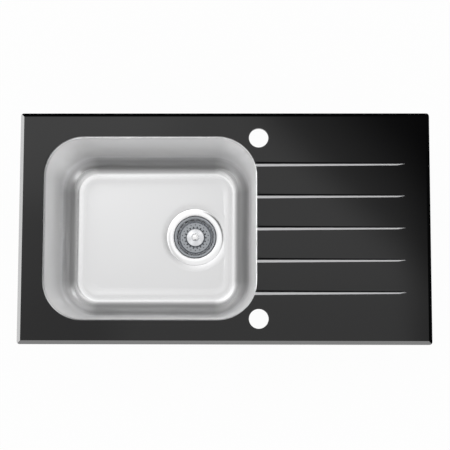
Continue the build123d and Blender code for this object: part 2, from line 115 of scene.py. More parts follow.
class Slot(Enum):
    """The material slots of the part's record."""

    GLASS = "black_glass"
    SATIN = "satin_steel"
    POLISHED = "polished_steel"
    ZINC = "zinc_steel"
    RAIL = "rail_steel"
    BRASS = "brass"
    WHITE_PLASTIC = "white_plastic"
    BLACK_PLASTIC = "black_plastic"
    RUBBER = "black_rubber"
    SEALANT = "black_sealant"
    FOAM = "foam_tape"
    FELT = "sound_pad"


class Grain(Enum):
    """How the fine relief of a finish runs."""

    NONE = "none"
    DRAWN = "drawn"
    CAST = "cast"


# Shader nodes and shared effects


def placed(tree: Tree, kind: str, values: dict[str | int, Feed], **settings: object) -> bpy.types.Node:
    """Places a node in a tree.

    Args:
        tree: the tree.
        kind: the node's type, without the ShaderNode that it starts with.
        values: by name or number of an input, the socket that feeds it or the value that it keeps.
        settings: the node's properties.

    Returns:
        The node.
    """
    node = tree.nodes.new("ShaderNode" + kind)
    for name, setting in settings.items():
        setattr(node, name, setting)
    for name, value in values.items():
        if isinstance(value, Socket):
            tree.links.new(value, node.inputs[name])
        else:
            node.inputs[name].default_value = value
    return node


def reckoned(tree: Tree, how: str, *operands: Feed) -> Socket:
    """Reckons with numbers in a tree.

    Args:
        tree: the tree.
        how: the operation of a Math node.
        operands: its operands.

    Returns:
        The socket with the result.
    """
    return placed(tree, "Math", dict(enumerate(operands)), operation=how).outputs[0]


def ramped(tree: Tree, value: Feed, start: Feed, end: Feed, first: float = 0.0, last: float = 1.0) -> Socket:
    """A smooth step between two values.

    Args:
        tree: the tree.
        value: what is compared.
        start: value at which the step starts.
        end: value at which it ends.
        first: result up to the start.
        last: result past the end.

    Returns:
        The socket with the result.
    """
    return placed(tree, "MapRange", {"Value": value, "From Min": start, "From Max": end, "To Min": first,
                                     "To Max": last}, interpolation_type="SMOOTHSTEP").outputs["Result"]


def noise_in(tree: Tree, vector: Feed, scale: Feed, detail: float) -> Socket:
    """Noise between 0 and 1.

    Args:
        tree: the tree.
        vector: coordinates.
        scale: its scale.
        detail: number of finer layers.

    Returns:
        The socket with the noise.
    """
    return placed(tree, "TexNoise", {"Vector": vector, "Scale": scale, "Detail": detail}).outputs["Fac"]


def new_group(name: str, numbers: dict[str, float],
              colours: Sequence[str] = ()) -> tuple[Tree, bpy.types.NodeOutputs]:
    """Starts a node group that reads a Vector.

    Args:
        name: name of the group.
        numbers: its other number inputs, with their values.
        colours: its colour inputs.

    Returns:
        The group and the sockets inside it that carry its inputs.
    """
    tree = bpy.data.node_groups.new(name, "ShaderNodeTree")
    tree.interface.new_socket("Vector", in_out="INPUT", socket_type="NodeSocketVector")
    for label, value in numbers.items():
        socket = tree.interface.new_socket(label, in_out="INPUT", socket_type="NodeSocketFloat")
        socket.default_value = value
    for label in colours:
        tree.interface.new_socket(label, in_out="INPUT", socket_type="NodeSocketColor")
    return tree, tree.nodes.new("NodeGroupInput").outputs


def put_out(tree: Tree, name: str, kind: str, result: Socket) -> Tree:
    """Ends a node group.

    Args:
        tree: the group.
        name: name of its output.
        kind: socket type of its output.
        result: what it puts out.

    Returns:
        The group.
    """
    tree.interface.new_socket(name, in_out="OUTPUT", socket_type=kind)
    tree.links.new(result, tree.nodes.new("NodeGroupOutput").inputs[name])
    return tree


@cache
def mottle_group() -> Tree:
    """Makes the effect that lets a number drift over the surface, as wiping and handling do.

    Returns:
        A group that puts out Base + Spread * (2 * noise - 1).
    """
    tree, given = new_group("surface_mottle", {"Scale": 40, "Base": 0.3, "Spread": 0.02})
    noise = noise_in(tree, given["Vector"], given["Scale"], 3)
    either_way = reckoned(tree, "MULTIPLY_ADD", noise, 2, -1)
    total = reckoned(tree, "MULTIPLY_ADD", either_way, given["Spread"], given["Base"])
    return put_out(tree, "Value", "NodeSocketFloat", total)


@cache
def tone_group() -> Tree:
    """Makes the effect that shifts a colour a little lighter and darker over the surface.

    Returns:
        A group that puts out a mix of Dark and Light, by noise.
    """
    tree, given = new_group("surface_tone", {"Scale": 40}, ("Dark", "Light"))
    noise = noise_in(tree, given["Vector"], given["Scale"], 2)
    mix = placed(tree, "Mix", {"Factor": noise, "A": given["Dark"], "B": given["Light"]}, data_type="RGBA")
    return put_out(tree, "Color", "NodeSocketColor", mix.outputs["Result"])


@cache
def relief_group() -> Tree:
    """Makes the fine relief of a finish, fine across the grain and long beside it.

    Returns:
        A group that puts out a height from noise on a stretched vector. The height fades to nothing where
        the vector's Y passes from Fade Start to Fade End.
    """
    tree, given = new_group("surface_relief", {"Along": 8, "Across": 200, "Fade Start": NO_FADE[0],
                                               "Fade End": NO_FADE[1]})
    stretch = placed(tree, "CombineXYZ", {"X": given["Along"], "Y": given["Across"], "Z": given["Across"]})
    stretched = placed(tree, "VectorMath", {0: given["Vector"], 1: stretch.outputs[0]}, operation="MULTIPLY")
    noise = noise_in(tree, stretched.outputs[0], 1, 4)
    down = placed(tree, "SeparateXYZ", {0: given["Vector"]}).outputs["Y"]
    left = ramped(tree, down, given["Fade Start"], given["Fade End"], 1, 0)
    return put_out(tree, "Height", "NodeSocketFloat", reckoned(tree, "MULTIPLY", noise, left))


@dataclass(frozen=True)
class Zone:
    """The colour share and roughness at one place down a pressed piece's section; the colour share paints
    light and shade.

    Args:
        length: length down the section, in metres.
        side: share of the base colour, which paints light and shade, and roughness along the sides.
        corner: the same in the middle of a corner, into which the values pass round each corner.
    """

    length: float
    side: tuple[float, float]
    corner: tuple[float, float]


@dataclass(frozen=True)
class Finish:
    """One finish of the sink: a plain shader whose colour, gloss and relief drift over the surface.

    Args:
        slot: the record's slot that it belongs to.
        colour: linear base colour.
        roughness: mean roughness.
        variant: ending of the material's name, where a slot has more than one finish.
        metallic: 1 for a metal, 0 otherwise.
        gloss_drift: how far the roughness drifts to either side.
        tone_drift: share by which the colour drifts to either side.
        drift_scale: noise scale of both drifts, per metre.
        grain: how the relief runs.
        along: relief scale beside the grain, per metre.
        across: relief scale across the grain, per metre.
        relief: strength of the relief.
        relief_depth: depth of the relief, in millimetres.
        relief_end: lengths down the section, in metres, over which the relief fades away.
        index: refractive index.
        section: the zones of painted light and shade, and of roughness, down a pressed piece's section, or
            nothing.
        sheen: weight of the light that fine scratches scatter at grazing angles.
        sheen_roughness: how widely they scatter it.
    """

    slot: Slot
    colour: tuple[float, float, float]
    roughness: float
    variant: str = ""
    metallic: float = 0.0
    gloss_drift: float = 0.02
    tone_drift: float = 0.03
    drift_scale: float = 30.0
    grain: Grain = Grain.NONE
    along: float = 8.0
    across: float = 160.0
    relief: float = 0.2
    relief_depth: float = 0.05
    relief_end: tuple[float, float] = NO_FADE
    index: float = 1.5
    section: tuple[Zone, ...] = ()
    sheen: float = 0.0
    sheen_roughness: float = 0.4

    def shade(self, share: float) -> tuple[float, float, float, float]:
        """The base colour made lighter or darker by a share."""
        return (*(min(channel * (1 + share), 1.0) for channel in self.colour), 1.0)

    def zone_values(self, tree: Tree, share: Socket, pairs: Sequence[tuple[float, float]]) -> Socket:
        """Looks the zones' values up by the share of the section's length.

        Args:
            tree: the material's node tree.
            share: share of the section's length.
            pairs: share of the base colour and roughness of each zone.

        Returns:
            A colour with half the share of the base colour as red and the roughness as green.
        """
        steps = placed(tree, "ValToRGB", {"Fac": share})
        steps.color_ramp.interpolation = "EASE"
        marks = steps.color_ramp.elements
        for rank, (zone, (tone, roughness)) in enumerate(zip(self.section, pairs)):
            position = zone.length / self.section[-1].length
            mark = marks[rank] if rank < 2 else marks.new(position)
            mark.position, mark.color = position, (tone / 2, roughness, 0, 1)
        return steps.outputs["Color"]

    def zoned_with_painted_light(self, tree: Tree, layout: Socket, colour: Socket) -> tuple[Socket, Socket]:
        """Paints light and shade into the colour, and changes the roughness, down the section and towards
        the corners.

        Args:
            tree: the material's node tree.
            layout: the piece's UV map, of which V is the length down the section.
            colour: the colour without the painted light and shade.

        Returns:
            The colour with its painted light and shade, and the roughness.
        """
        down = placed(tree, "SeparateXYZ", {0: layout}).outputs["Y"]
        share = reckoned(tree, "DIVIDE", down, self.section[-1].length)
        corner = placed(tree, "UVMap", {}, uv_map=CORNER_MAP)
        bend = placed(tree, "SeparateXYZ", {0: corner.outputs["UV"]}).outputs["X"]
        sides = self.zone_values(tree, share, [zone.side for zone in self.section])
        corners = self.zone_values(tree, share, [zone.corner for zone in self.section])
        mix = placed(tree, "Mix", {"Factor": bend, "A": sides, "B": corners}, data_type="RGBA")
        values = placed(tree, "SeparateColor", {"Color": mix.outputs["Result"]})
        # Painted light and shade: the zones' colour shares scale the colour.
        tone = reckoned(tree, "MULTIPLY", values.outputs["Red"], 2)
        tint = placed(tree, "VectorMath", {0: colour, "Scale": tone}, operation="SCALE")
        return tint.outputs["Vector"], values.outputs["Green"]

    def material(self) -> bpy.types.Material:
        """Makes the material, or gives the one that was made before.

        Returns:
            A material whose constants sit on the shader's own sockets.
        """
        name = self.slot.value + self.variant
        made = bpy.data.materials.get(name)
        if made is not None and made.get("dressed"):
            return made
        if made is not None:
            made.name = "plain_" + name
        made = bpy.data.materials.new(name)
        made["dressed"] = True
        made.use_nodes = True
        tree = made.node_tree
        shader = tree.nodes["Principled BSDF"]
        for label, value in (("Metallic", self.metallic), ("IOR", self.index), ("Sheen Weight", self.sheen),
                             ("Sheen Roughness", self.sheen_roughness)):
            shader.inputs[label].default_value = value
        place = placed(tree, "TexCoord", {}).outputs
        tone = placed(tree, "Group", {"Vector": place["Object"], "Scale": self.drift_scale,
                                      "Dark": self.shade(-self.tone_drift),
                                      "Light": self.shade(self.tone_drift)}, node_tree=tone_group())
        colour: Socket = tone.outputs["Color"]
        roughness: Feed = self.roughness
        if self.section:
            colour, roughness = self.zoned_with_painted_light(tree, place["UV"], colour)
        gloss = placed(tree, "Group", {"Vector": place["Object"], "Scale": self.drift_scale,
                                       "Base": roughness, "Spread": self.gloss_drift},
                       node_tree=mottle_group())
        tree.links.new(colour, shader.inputs["Base Color"])
        tree.links.new(gloss.outputs["Value"], shader.inputs["Roughness"])
        if self.grain is not Grain.NONE:
            start, end = self.relief_end
            relief = placed(tree, "Group", {"Vector": place["UV" if self.grain is Grain.DRAWN else "Object"],
                                            "Along": self.along, "Across": self.across, "Fade Start": start,
                                            "Fade End": end}, node_tree=relief_group())
            bump = placed(tree, "Bump", {"Strength": self.relief, "Distance": self.relief_depth * MM,
                                         "Height": relief.outputs["Height"]})
            tree.links.new(bump.outputs["Normal"], shader.inputs["Normal"])
        return made


# Zones down the bowl's section, which paint light and shade into the steel's colour: flange and rim, the
# wall lightened (painted light), a dark band in the bend (painted shade), a bright band at the smoother foot
# (painted highlight), floor and recess, and the outer skin. The corners are painted lighter than the sides.
BOWL_PAINTED_LIGHT_ZONES = (
    Zone(0.0, (0.95, 0.34), (1.15, 0.34)), Zone(0.0135, (0.95, 0.34), (1.15, 0.34)),
    Zone(0.018, (1.28, 0.34), (1.28, 0.34)), Zone(0.060, (1.28, 0.36), (1.28, 0.36)),
    Zone(0.153, (1.28, 0.48), (1.28, 0.48)), Zone(0.164, (1.20, 0.48), (1.28, 0.55)),
    Zone(0.171, (0.68, 0.40), (1.10, 0.36)), Zone(0.178, (0.46, 0.40), (0.82, 0.34)),
    Zone(0.187, (0.46, 0.38), (0.74, 0.30)), Zone(0.196, (0.36, 0.30), (0.62, 0.24)),
    Zone(0.2025, (0.56, 0.20), (0.90, 0.20)), Zone(0.207, (1.10, 0.20), (1.20, 0.20)),
    Zone(0.211, (1.04, 0.22), (1.08, 0.22)), Zone(0.216, (0.95, 0.24), (0.95, 0.24)),
    Zone(0.284, (0.95, 0.24), (0.95, 0.24)), Zone(0.292, (0.50, 0.50), (0.50, 0.50)),
    Zone(0.58, (0.50, 0.50), (0.50, 0.50)))


class Look(Enum):
    """The finishes of the sink, some of them with painted light and shade, by the name that the pieces ask
    for.
    """

    # Painted reflection: a light grey on the groove flanks that face the back stands in for the reflection
    # of light from behind.
    GROUND = Finish(Slot.GLASS, (0.62, 0.62, 0.63), 0.5, "_painted_reflection", gloss_drift=0.05, drift_scale=200.0)
    GLASS = Finish(Slot.GLASS, (0.0012, 0.0012, 0.0014), 0.06, gloss_drift=0.01, tone_drift=0.0,
                   drift_scale=6.0)
    # Its section's zones paint light and shade into the steel's colour: a lighter wall and corners, a dark
    # band in the bend and a bright band at the foot.
    BOWL = Finish(Slot.SATIN, (0.78, 0.78, 0.785), 0.28, "_drawn", metallic=1.0, tone_drift=0.015,
                  drift_scale=9.0, grain=Grain.DRAWN, along=6.0, across=130.0, relief=0.8, relief_depth=0.4,
                  relief_end=(0.195, 0.212), section=BOWL_PAINTED_LIGHT_ZONES, sheen=1.0)
    SATIN = Finish(Slot.SATIN, (0.62, 0.62, 0.625), 0.27, metallic=1.0, drift_scale=9.0)
    POLISHED = Finish(Slot.POLISHED, (0.72, 0.725, 0.74), 0.12, metallic=1.0, tone_drift=0.01,
                      drift_scale=60.0)
    # Painted light: a brighter copy of the polished steel, for the dish and the knob.
    DISH = Finish(Slot.POLISHED, (0.93, 0.93, 0.935), 0.08, "_dish", metallic=1.0, gloss_drift=0.01,
                  tone_drift=0.005, drift_scale=60.0)
    # Painted shade: a dark copy of the polished steel for the dish's cup under the basket and the plate
    # below it.
    CUP = Finish(Slot.POLISHED, (0.16, 0.165, 0.175), 0.35, "_cup", metallic=1.0, tone_drift=0.01,
                 drift_scale=60.0)
    # Painted shade: a darker copy of the polished steel for the strainer cup at the bottom of the bowl.
    BASKET = Finish(Slot.POLISHED, (0.33, 0.345, 0.365), 0.17, "_basket", metallic=1.0, tone_drift=0.02,
                    drift_scale=60.0)
    CAP = Finish(Slot.POLISHED, (0.74, 0.75, 0.77), 0.20, "_cap", metallic=1.0, tone_drift=0.01,
                 drift_scale=60.0)
    FLANK = Finish(Slot.POLISHED, (0.82, 0.83, 0.85), 0.45, "_flank", metallic=1.0, tone_drift=0.01,
                   drift_scale=60.0)
    ZINC = Finish(Slot.ZINC, (0.56, 0.57, 0.60), 0.34, metallic=1.0, gloss_drift=0.06, tone_drift=0.05,
                  drift_scale=90.0, grain=Grain.CAST, along=500.0, across=500.0)
    RAIL = Finish(Slot.RAIL, (0.50, 0.52, 0.54), 0.40, metallic=1.0, gloss_drift=0.08, tone_drift=0.08,
                  drift_scale=70.0, grain=Grain.CAST, along=400.0, across=400.0, relief=0.15)
    BRASS = Finish(Slot.BRASS, (0.70, 0.50, 0.22), 0.30, metallic=1.0, gloss_drift=0.04)
    WHITE_PLASTIC = Finish(Slot.WHITE_PLASTIC, (0.78, 0.78, 0.76), 0.42, gloss_drift=0.04, tone_drift=0.02,
                           grain=Grain.CAST, along=900.0, across=900.0, relief=0.1)
    BLACK_PLASTIC = Finish(Slot.BLACK_PLASTIC, (0.03, 0.03, 0.031), 0.45, gloss_drift=0.05, grain=Grain.CAST,
                           along=900.0, across=900.0, relief=0.15)
    RUBBER = Finish(Slot.RUBBER, (0.022, 0.022, 0.022), 0.62, gloss_drift=0.06, tone_drift=0.15,
                    grain=Grain.CAST, along=700.0, across=700.0)
    SEALANT = Finish(Slot.SEALANT, (0.03, 0.03, 0.03), 0.5, gloss_drift=0.08, tone_drift=0.1,
                     grain=Grain.CAST, along=150.0, across=150.0, relief=0.5, relief_depth=0.2)
    FOAM = Finish(Slot.FOAM, (0.07, 0.07, 0.073), 0.9, gloss_drift=0.05, tone_drift=0.15, grain=Grain.CAST,
                  along=1200.0, across=1200.0, relief=0.8, relief_depth=0.2)
    FELT = Finish(Slot.FELT, (0.11, 0.11, 0.113), 0.92, gloss_drift=0.04, tone_drift=0.2, drift_scale=150.0,
                  grain=Grain.CAST, along=900.0, across=900.0, relief=0.9, relief_depth=0.25)


# Surfaces


def rounded(corners: Sequence[Corner], steps: int = 6) -> Array:
    """Joins corners by straight runs and rounds each one by an arc that is tangent to both of its runs.

    The arc's centre lies on the bisector, bend / sin(half the corner's angle) from the corner, and the arc
    starts bend / tan(half the angle) before it.

    Args:
        corners: (across, up, bend) of each corner; a bend of zero leaves it sharp.
        steps: spans in each arc.

    Returns:
        The (across, up) points of the line.
    """
    spots = np.array([corner[:2] for corner in corners], float)
    line = [spots[:1]]
    for spot, before, after, (_, _, bend) in zip(spots[1:-1], spots[:-2], spots[2:], corners[1:-1]):
        back, ahead = before - spot, after - spot
        back, ahead = back / np.linalg.norm(back), ahead / np.linalg.norm(ahead)
        half = np.arccos(np.clip(back @ ahead, -1, 1)) / 2
        if bend == 0 or half > pi / 2 - 1e-4:
            line.append(spot[None])
            continue
        middle = (back + ahead) / np.linalg.norm(back + ahead)
        centre = spot + middle * bend / np.sin(half)
        turn = np.linspace(half - pi / 2, pi / 2 - half, steps + 1)[:, None]
        side = np.array([-middle[1], middle[0]])
        side = side if side @ ahead > 0 else -side
        line.append(centre + bend * (side * np.sin(turn) - middle * np.cos(turn)))
    line.append(spots[-1:])
    return np.concatenate(line)


def filled_in(line: Array, step: float) -> Array:
    """Adds points to the long runs of a line, so that none is longer than a step.

    Args:
        line: (across, up) points.
        step: longest run that stays.

    Returns:
        The line with the points added by straight interpolation.
    """
    spans = np.maximum(np.ceil(np.linalg.norm(np.diff(line, axis=0), axis=1) / step), 1).astype(int)
    rank = np.concatenate([[0], np.cumsum(spans)])
    wanted = np.arange(rank[-1] + 1)
    return np.stack([np.interp(wanted, rank, line[:, 0]), np.interp(wanted, rank, line[:, 1])], axis=-1)


def lengths(line: Array) -> Array:
    """Length along a line from its first point to each of its points."""
    return np.concatenate([[0], np.cumsum(np.linalg.norm(np.diff(line, axis=0), axis=1))])


def at_heights(plan: Array, heights: Array) -> Array:
    """Gives each row of a plan grid of (x, y) points its own height."""
    return np.concatenate([plan, np.broadcast_to(heights[:, None, None], plan.shape[:2] + (1,))], axis=-1)


def turned(section: Array, axis_x: float, segments: int = 96) -> Array:
    """Turns a section about the waste's axis: (r, z) goes to (x + r cos a, r sin a, z) for every angle a.

    Args:
        section: (radius, height) points.
        axis_x: place of the axis along X.
        segments: spans round the axis.

    Returns:
        A grid of points, one row for each point of the section; the last column repeats the first.
    """
    angle = np.linspace(0, 2 * pi, segments + 1)[None]
    radius, height = section[:, :1], section[:, 1:]
    return np.stack([axis_x + radius * np.cos(angle), radius * np.sin(angle), height + 0 * angle], axis=-1)


def threaded(root: float, crest: float, pitch: float, low: float, high: float, place: tuple[float, float],
             segments: int = 20) -> Array:
    """A screw thread: each row climbs by one pitch a turn, and rows go root, flank, crest, flank in turn.

    Row i at angle a stands at height low + pitch * (i / 4 + a / (2 pi)), held between low and high, and its
    radius is the mean radius less half the depth times the cosine of i quarter turns.

    Args:
        root: smallest radius.
        crest: largest radius.
        pitch: climb in one turn.
        low: height of the lower end.
        high: height of the upper end.
        place: axis of the thread in plan.
        segments: spans round the axis.

    Returns:
        A grid of points with a pole at both ends.
    """
    angle = np.linspace(0, 2 * pi, segments + 1)[None]
    row = np.arange(-4, int(4 * (high - low) / pitch) + 5)[:, None]
    height = np.clip(low + pitch * (row / 4 + angle / (2 * pi)), low, high)
    radius = (root + crest) / 2 - (crest - root) / 2 * np.cos(row * pi / 2) + 0 * angle
    wall = np.stack([place[0] + radius * np.cos(angle), place[1] + radius * np.sin(angle), height], axis=-1)
    poles = np.ones_like(wall[:1]) * np.array([place[0], place[1], 0])
    return np.concatenate([poles + [0, 0, low], wall, poles + [0, 0, high]])


@dataclass(frozen=True)
class Opening:
    """A row of like openings through a turned sheet.

    Args:
        radius: radius at which the row lies.
        reach: half the width of the row's band along the section.
        half_length: half of an opening's length round the axis.
        half_width: half of its width along the section.
        turn: share of a pitch by which the row is turned.
    """

    radius: float
    reach: float
    half_length: float
    half_width: float
    turn: float = 0.0


@dataclass
class Surface:
    """A mesh put together from grids of points.

    Args:
        points: the points of each grid.
        faces: its faces, as ranks of points.
        maps: U, V and share of a corner for each of its points.
        count: number of points so far.
    """

    points: list[Array] = field(default_factory=list)
    faces: list[Array] = field(default_factory=list)
    maps: list[Array] = field(default_factory=list)
    count: int = 0

    def grid(self, points: Array, layout: Array | None = None) -> "Surface":
        """Adds one or more grids.

        Args:
            points: places, with the rows, the columns and X, Y, Z as the last three axes.
            layout: U and V of each point and its share of a corner, or nothing.

        Returns:
            The surface itself.
        """
        index = np.arange(points[..., 0].size).reshape(points.shape[:-1]) + self.count
        before, after = index[..., :-1, :], index[..., 1:, :]
        faces = np.stack([before[..., :-1], before[..., 1:], after[..., 1:], after[..., :-1]], axis=-1)
        self.points.append(points.reshape(-1, 3))
        self.faces.append(faces.reshape(-1, 4))
        self.maps.append(np.zeros((index.size, 3)) if layout is None else layout.reshape(-1, 3))
        self.count += index.size
        return self

    def build(self, name: str, sharp: float = SHARP, merge: float = 0.002) -> Piece:
        """Makes the object, with its seams and poles merged and its faces pointing outwards.

        Args:
            name: name of the object.
            sharp: angle in degrees over which an edge stays sharp.
            merge: distance within which points become one.

        Returns:
            The finished object, at the origin.
        """
        places, faces = np.concatenate(self.points) * MM, np.concatenate(self.faces)
        mesh = bpy.data.meshes.new(name)
        mesh.from_pydata(places.tolist(), [], faces.tolist())
        rank = np.empty(len(mesh.loops), np.int32)
        mesh.loops.foreach_get("vertex_index", rank)
        layout = np.concatenate(self.maps)[rank]
        mesh.uv_layers.new(name="UVMap").data.foreach_set("uv", layout[:, :2].ravel())
        if layout[:, 2].any():
            mesh.uv_layers.new(name=CORNER_MAP).data.foreach_set("uv", (layout[:, 2:] * [1, 0]).ravel())
        return finished(name, mesh, sharp, merge)


def finished(name: str, mesh: bpy.types.Mesh, sharp: float, merge: float, outward: bool = True) -> Piece:
    """Merges a mesh's doubles, points its faces outwards and smooths it up to an angle.

    Args:
        name: name of the object.
        mesh: its mesh.
        sharp: angle in degrees over which an edge stays sharp.
        merge: distance within which points become one.
        outward: whether the normals are worked out afresh.

    Returns:
        The object.
    """
    work = bmesh.new()
    work.from_mesh(mesh)
    bmesh.ops.remove_doubles(work, verts=work.verts, dist=merge * MM)
    bmesh.ops.dissolve_degenerate(work, edges=work.edges, dist=merge * MM / 2)
    if outward:
        bmesh.ops.recalc_face_normals(work, faces=work.faces)
    work.to_mesh(mesh)
    work.free()
    mesh.polygons.foreach_set("use_smooth", np.ones(len(mesh.polygons), bool))
    mesh.set_sharp_from_angle(angle=radians(sharp))
    made = bpy.data.objects.new(name, mesh)
    bpy.context.scene.collection.objects.link(made)
    return made


def face_places(mesh: bpy.types.Mesh) -> tuple[Array, Array]:
    """Reads where a mesh's faces lie.

    Args:
        mesh: the mesh.

    Returns:
        The middles of its faces, in millimetres, and their normals.
    """
    middles, normals = (np.empty(len(mesh.polygons) * 3) for _ in range(2))
    mesh.polygons.foreach_get("center", middles)
    mesh.polygons.foreach_get("normal", normals)
    return middles.reshape(-1, 3) / MM, normals.reshape(-1, 3)


@dataclass
class SubAssembly:
    """A group of pieces that belong together.
    """

    frame: dict

    def box(self, node: str) -> tuple[Array, Array]:
        """Lowest and highest corner of a node of the frame, in millimetres."""
        low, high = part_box(node)
        return np.array(low) / MM, np.array(high) / MM

    def touch_up(self, made: Piece, look: Look, chosen: Array) -> None:
        """Gives some of a piece's faces a material of their own, for a finish as well as for painted light
        and shade.

        Args:
            made: the piece, which has its first finish.
            look: the other material.
            chosen: for each face, whether it gets that finish.
        """
        made.data.materials.append(look.value.material())
        finish = np.empty(len(made.data.polygons), np.int32)
        made.data.polygons.foreach_get("material_index", finish)
        finish[chosen] = len(made.data.materials) - 1
        made.data.polygons.foreach_set("material_index", finish)
        LOG.info("%s: %d faces finished as %s", made.name, int(chosen.sum()), look.name)

    def fit(self, made: Piece, look: Look, body: str, *nodes: str) -> Piece:
        """Gives a piece its finish and its body, and lets it stand for nodes of the frame.

        Args:
            made: the piece.
            look: its finish.
            body: the body that it moves with.
            nodes: the nodes that it stands for.

        Returns:
            The piece.
        """
        made.data.materials.clear()
        made.data.materials.append(look.value.material())
        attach(made, body)
        if nodes:
            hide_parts(*nodes)
        LOG.info("%s: %d faces, for %s", made.name, len(made.data.polygons), ", ".join(nodes) or "no node")
        return made

    def dress(self, node: str, look: Look) -> None:
        """Gives a node of the frame its finish.

        Args:
            node: the node, which stays as it is.
            look: its finish.
        """
        made = self.frame["nodes"][node]
        made.data.materials.clear()
        made.data.materials.append(look.value.material())
        LOG.info("%s: node kept, dressed as %s", node, look.name)

    def eased(self, node: str, look: Look, body: str, ease: float, sharp: float = SHARP,
              merge: float = 0.001) -> Piece:
        """Copies a node of the frame, merged and smoothed, and eases its edges by a small bevel.

        Args:
            node: the node.
            look: its finish.
            body: the body that it moves with.
            ease: width of the bevel, or zero for none.
            sharp: angle in degrees over which an edge stays sharp.
            merge: distance within which points become one.

        Returns:
            The new piece.
        """
        mesh = self.frame["nodes"][node].data.copy()
        made = finished(node + "_eased", mesh, sharp, merge, outward=False)
        if ease:
            bevel = made.modifiers.new("eased edges", "BEVEL")
            bevel.width = ease * MM
            bevel.segments = 2
            bevel.limit_method = "ANGLE"
            bevel.angle_limit = radians(SHARP)
            bevel.harden_normals = True
        return self.fit(made, look, body, node)


# The sink's own pieces


@dataclass
class GlassTop(SubAssembly):
    """The bevelled glass with its grooves, and the sealing tape below its edge.

    Args:
        body: the body that it moves with.
        sharp: angle in degrees over which an edge of the glass stays sharp.
        drainer_reach: distance from the middle line within which the grooves lie.
        groove_depth: depth within which their flanks lie.
        flank_lean: least Y of the normal of a flank that gets the light grey of the painted reflection.
        flank_rise: least Z of that normal.
    """

    body: str = "sink"
    sharp: float = 2.0
    drainer_reach: float = 150.0
    groove_depth: float = 3.0
    flank_lean: float = 0.2
    flank_rise: float = 0.5

    def build(self) -> None:
        """Copies the glass, with the front flanks of its grooves in a light grey, a painted reflection of
        light from behind, and all else polished.
        """
        low, high = self.box("glass_top")
        made = self.eased("glass_top", Look.GLASS, self.body, 0.0, self.sharp)
        middles, normals = face_places(made.data)
        # Painted reflection: the flanks that face the back are picked for the light grey glass.
        flank = (normals[:, 1] > self.flank_lean) & (normals[:, 2] > self.flank_rise)
        flank &= (np.abs(middles[:, 1]) < self.drainer_reach) & (middles[:, 0] > (low[0] + high[0]) / 2)
        flank &= middles[:, 2] > high[2] - self.groove_depth
        self.touch_up(made, Look.GROUND, flank)
        self.dress("rim_seal", Look.FOAM)


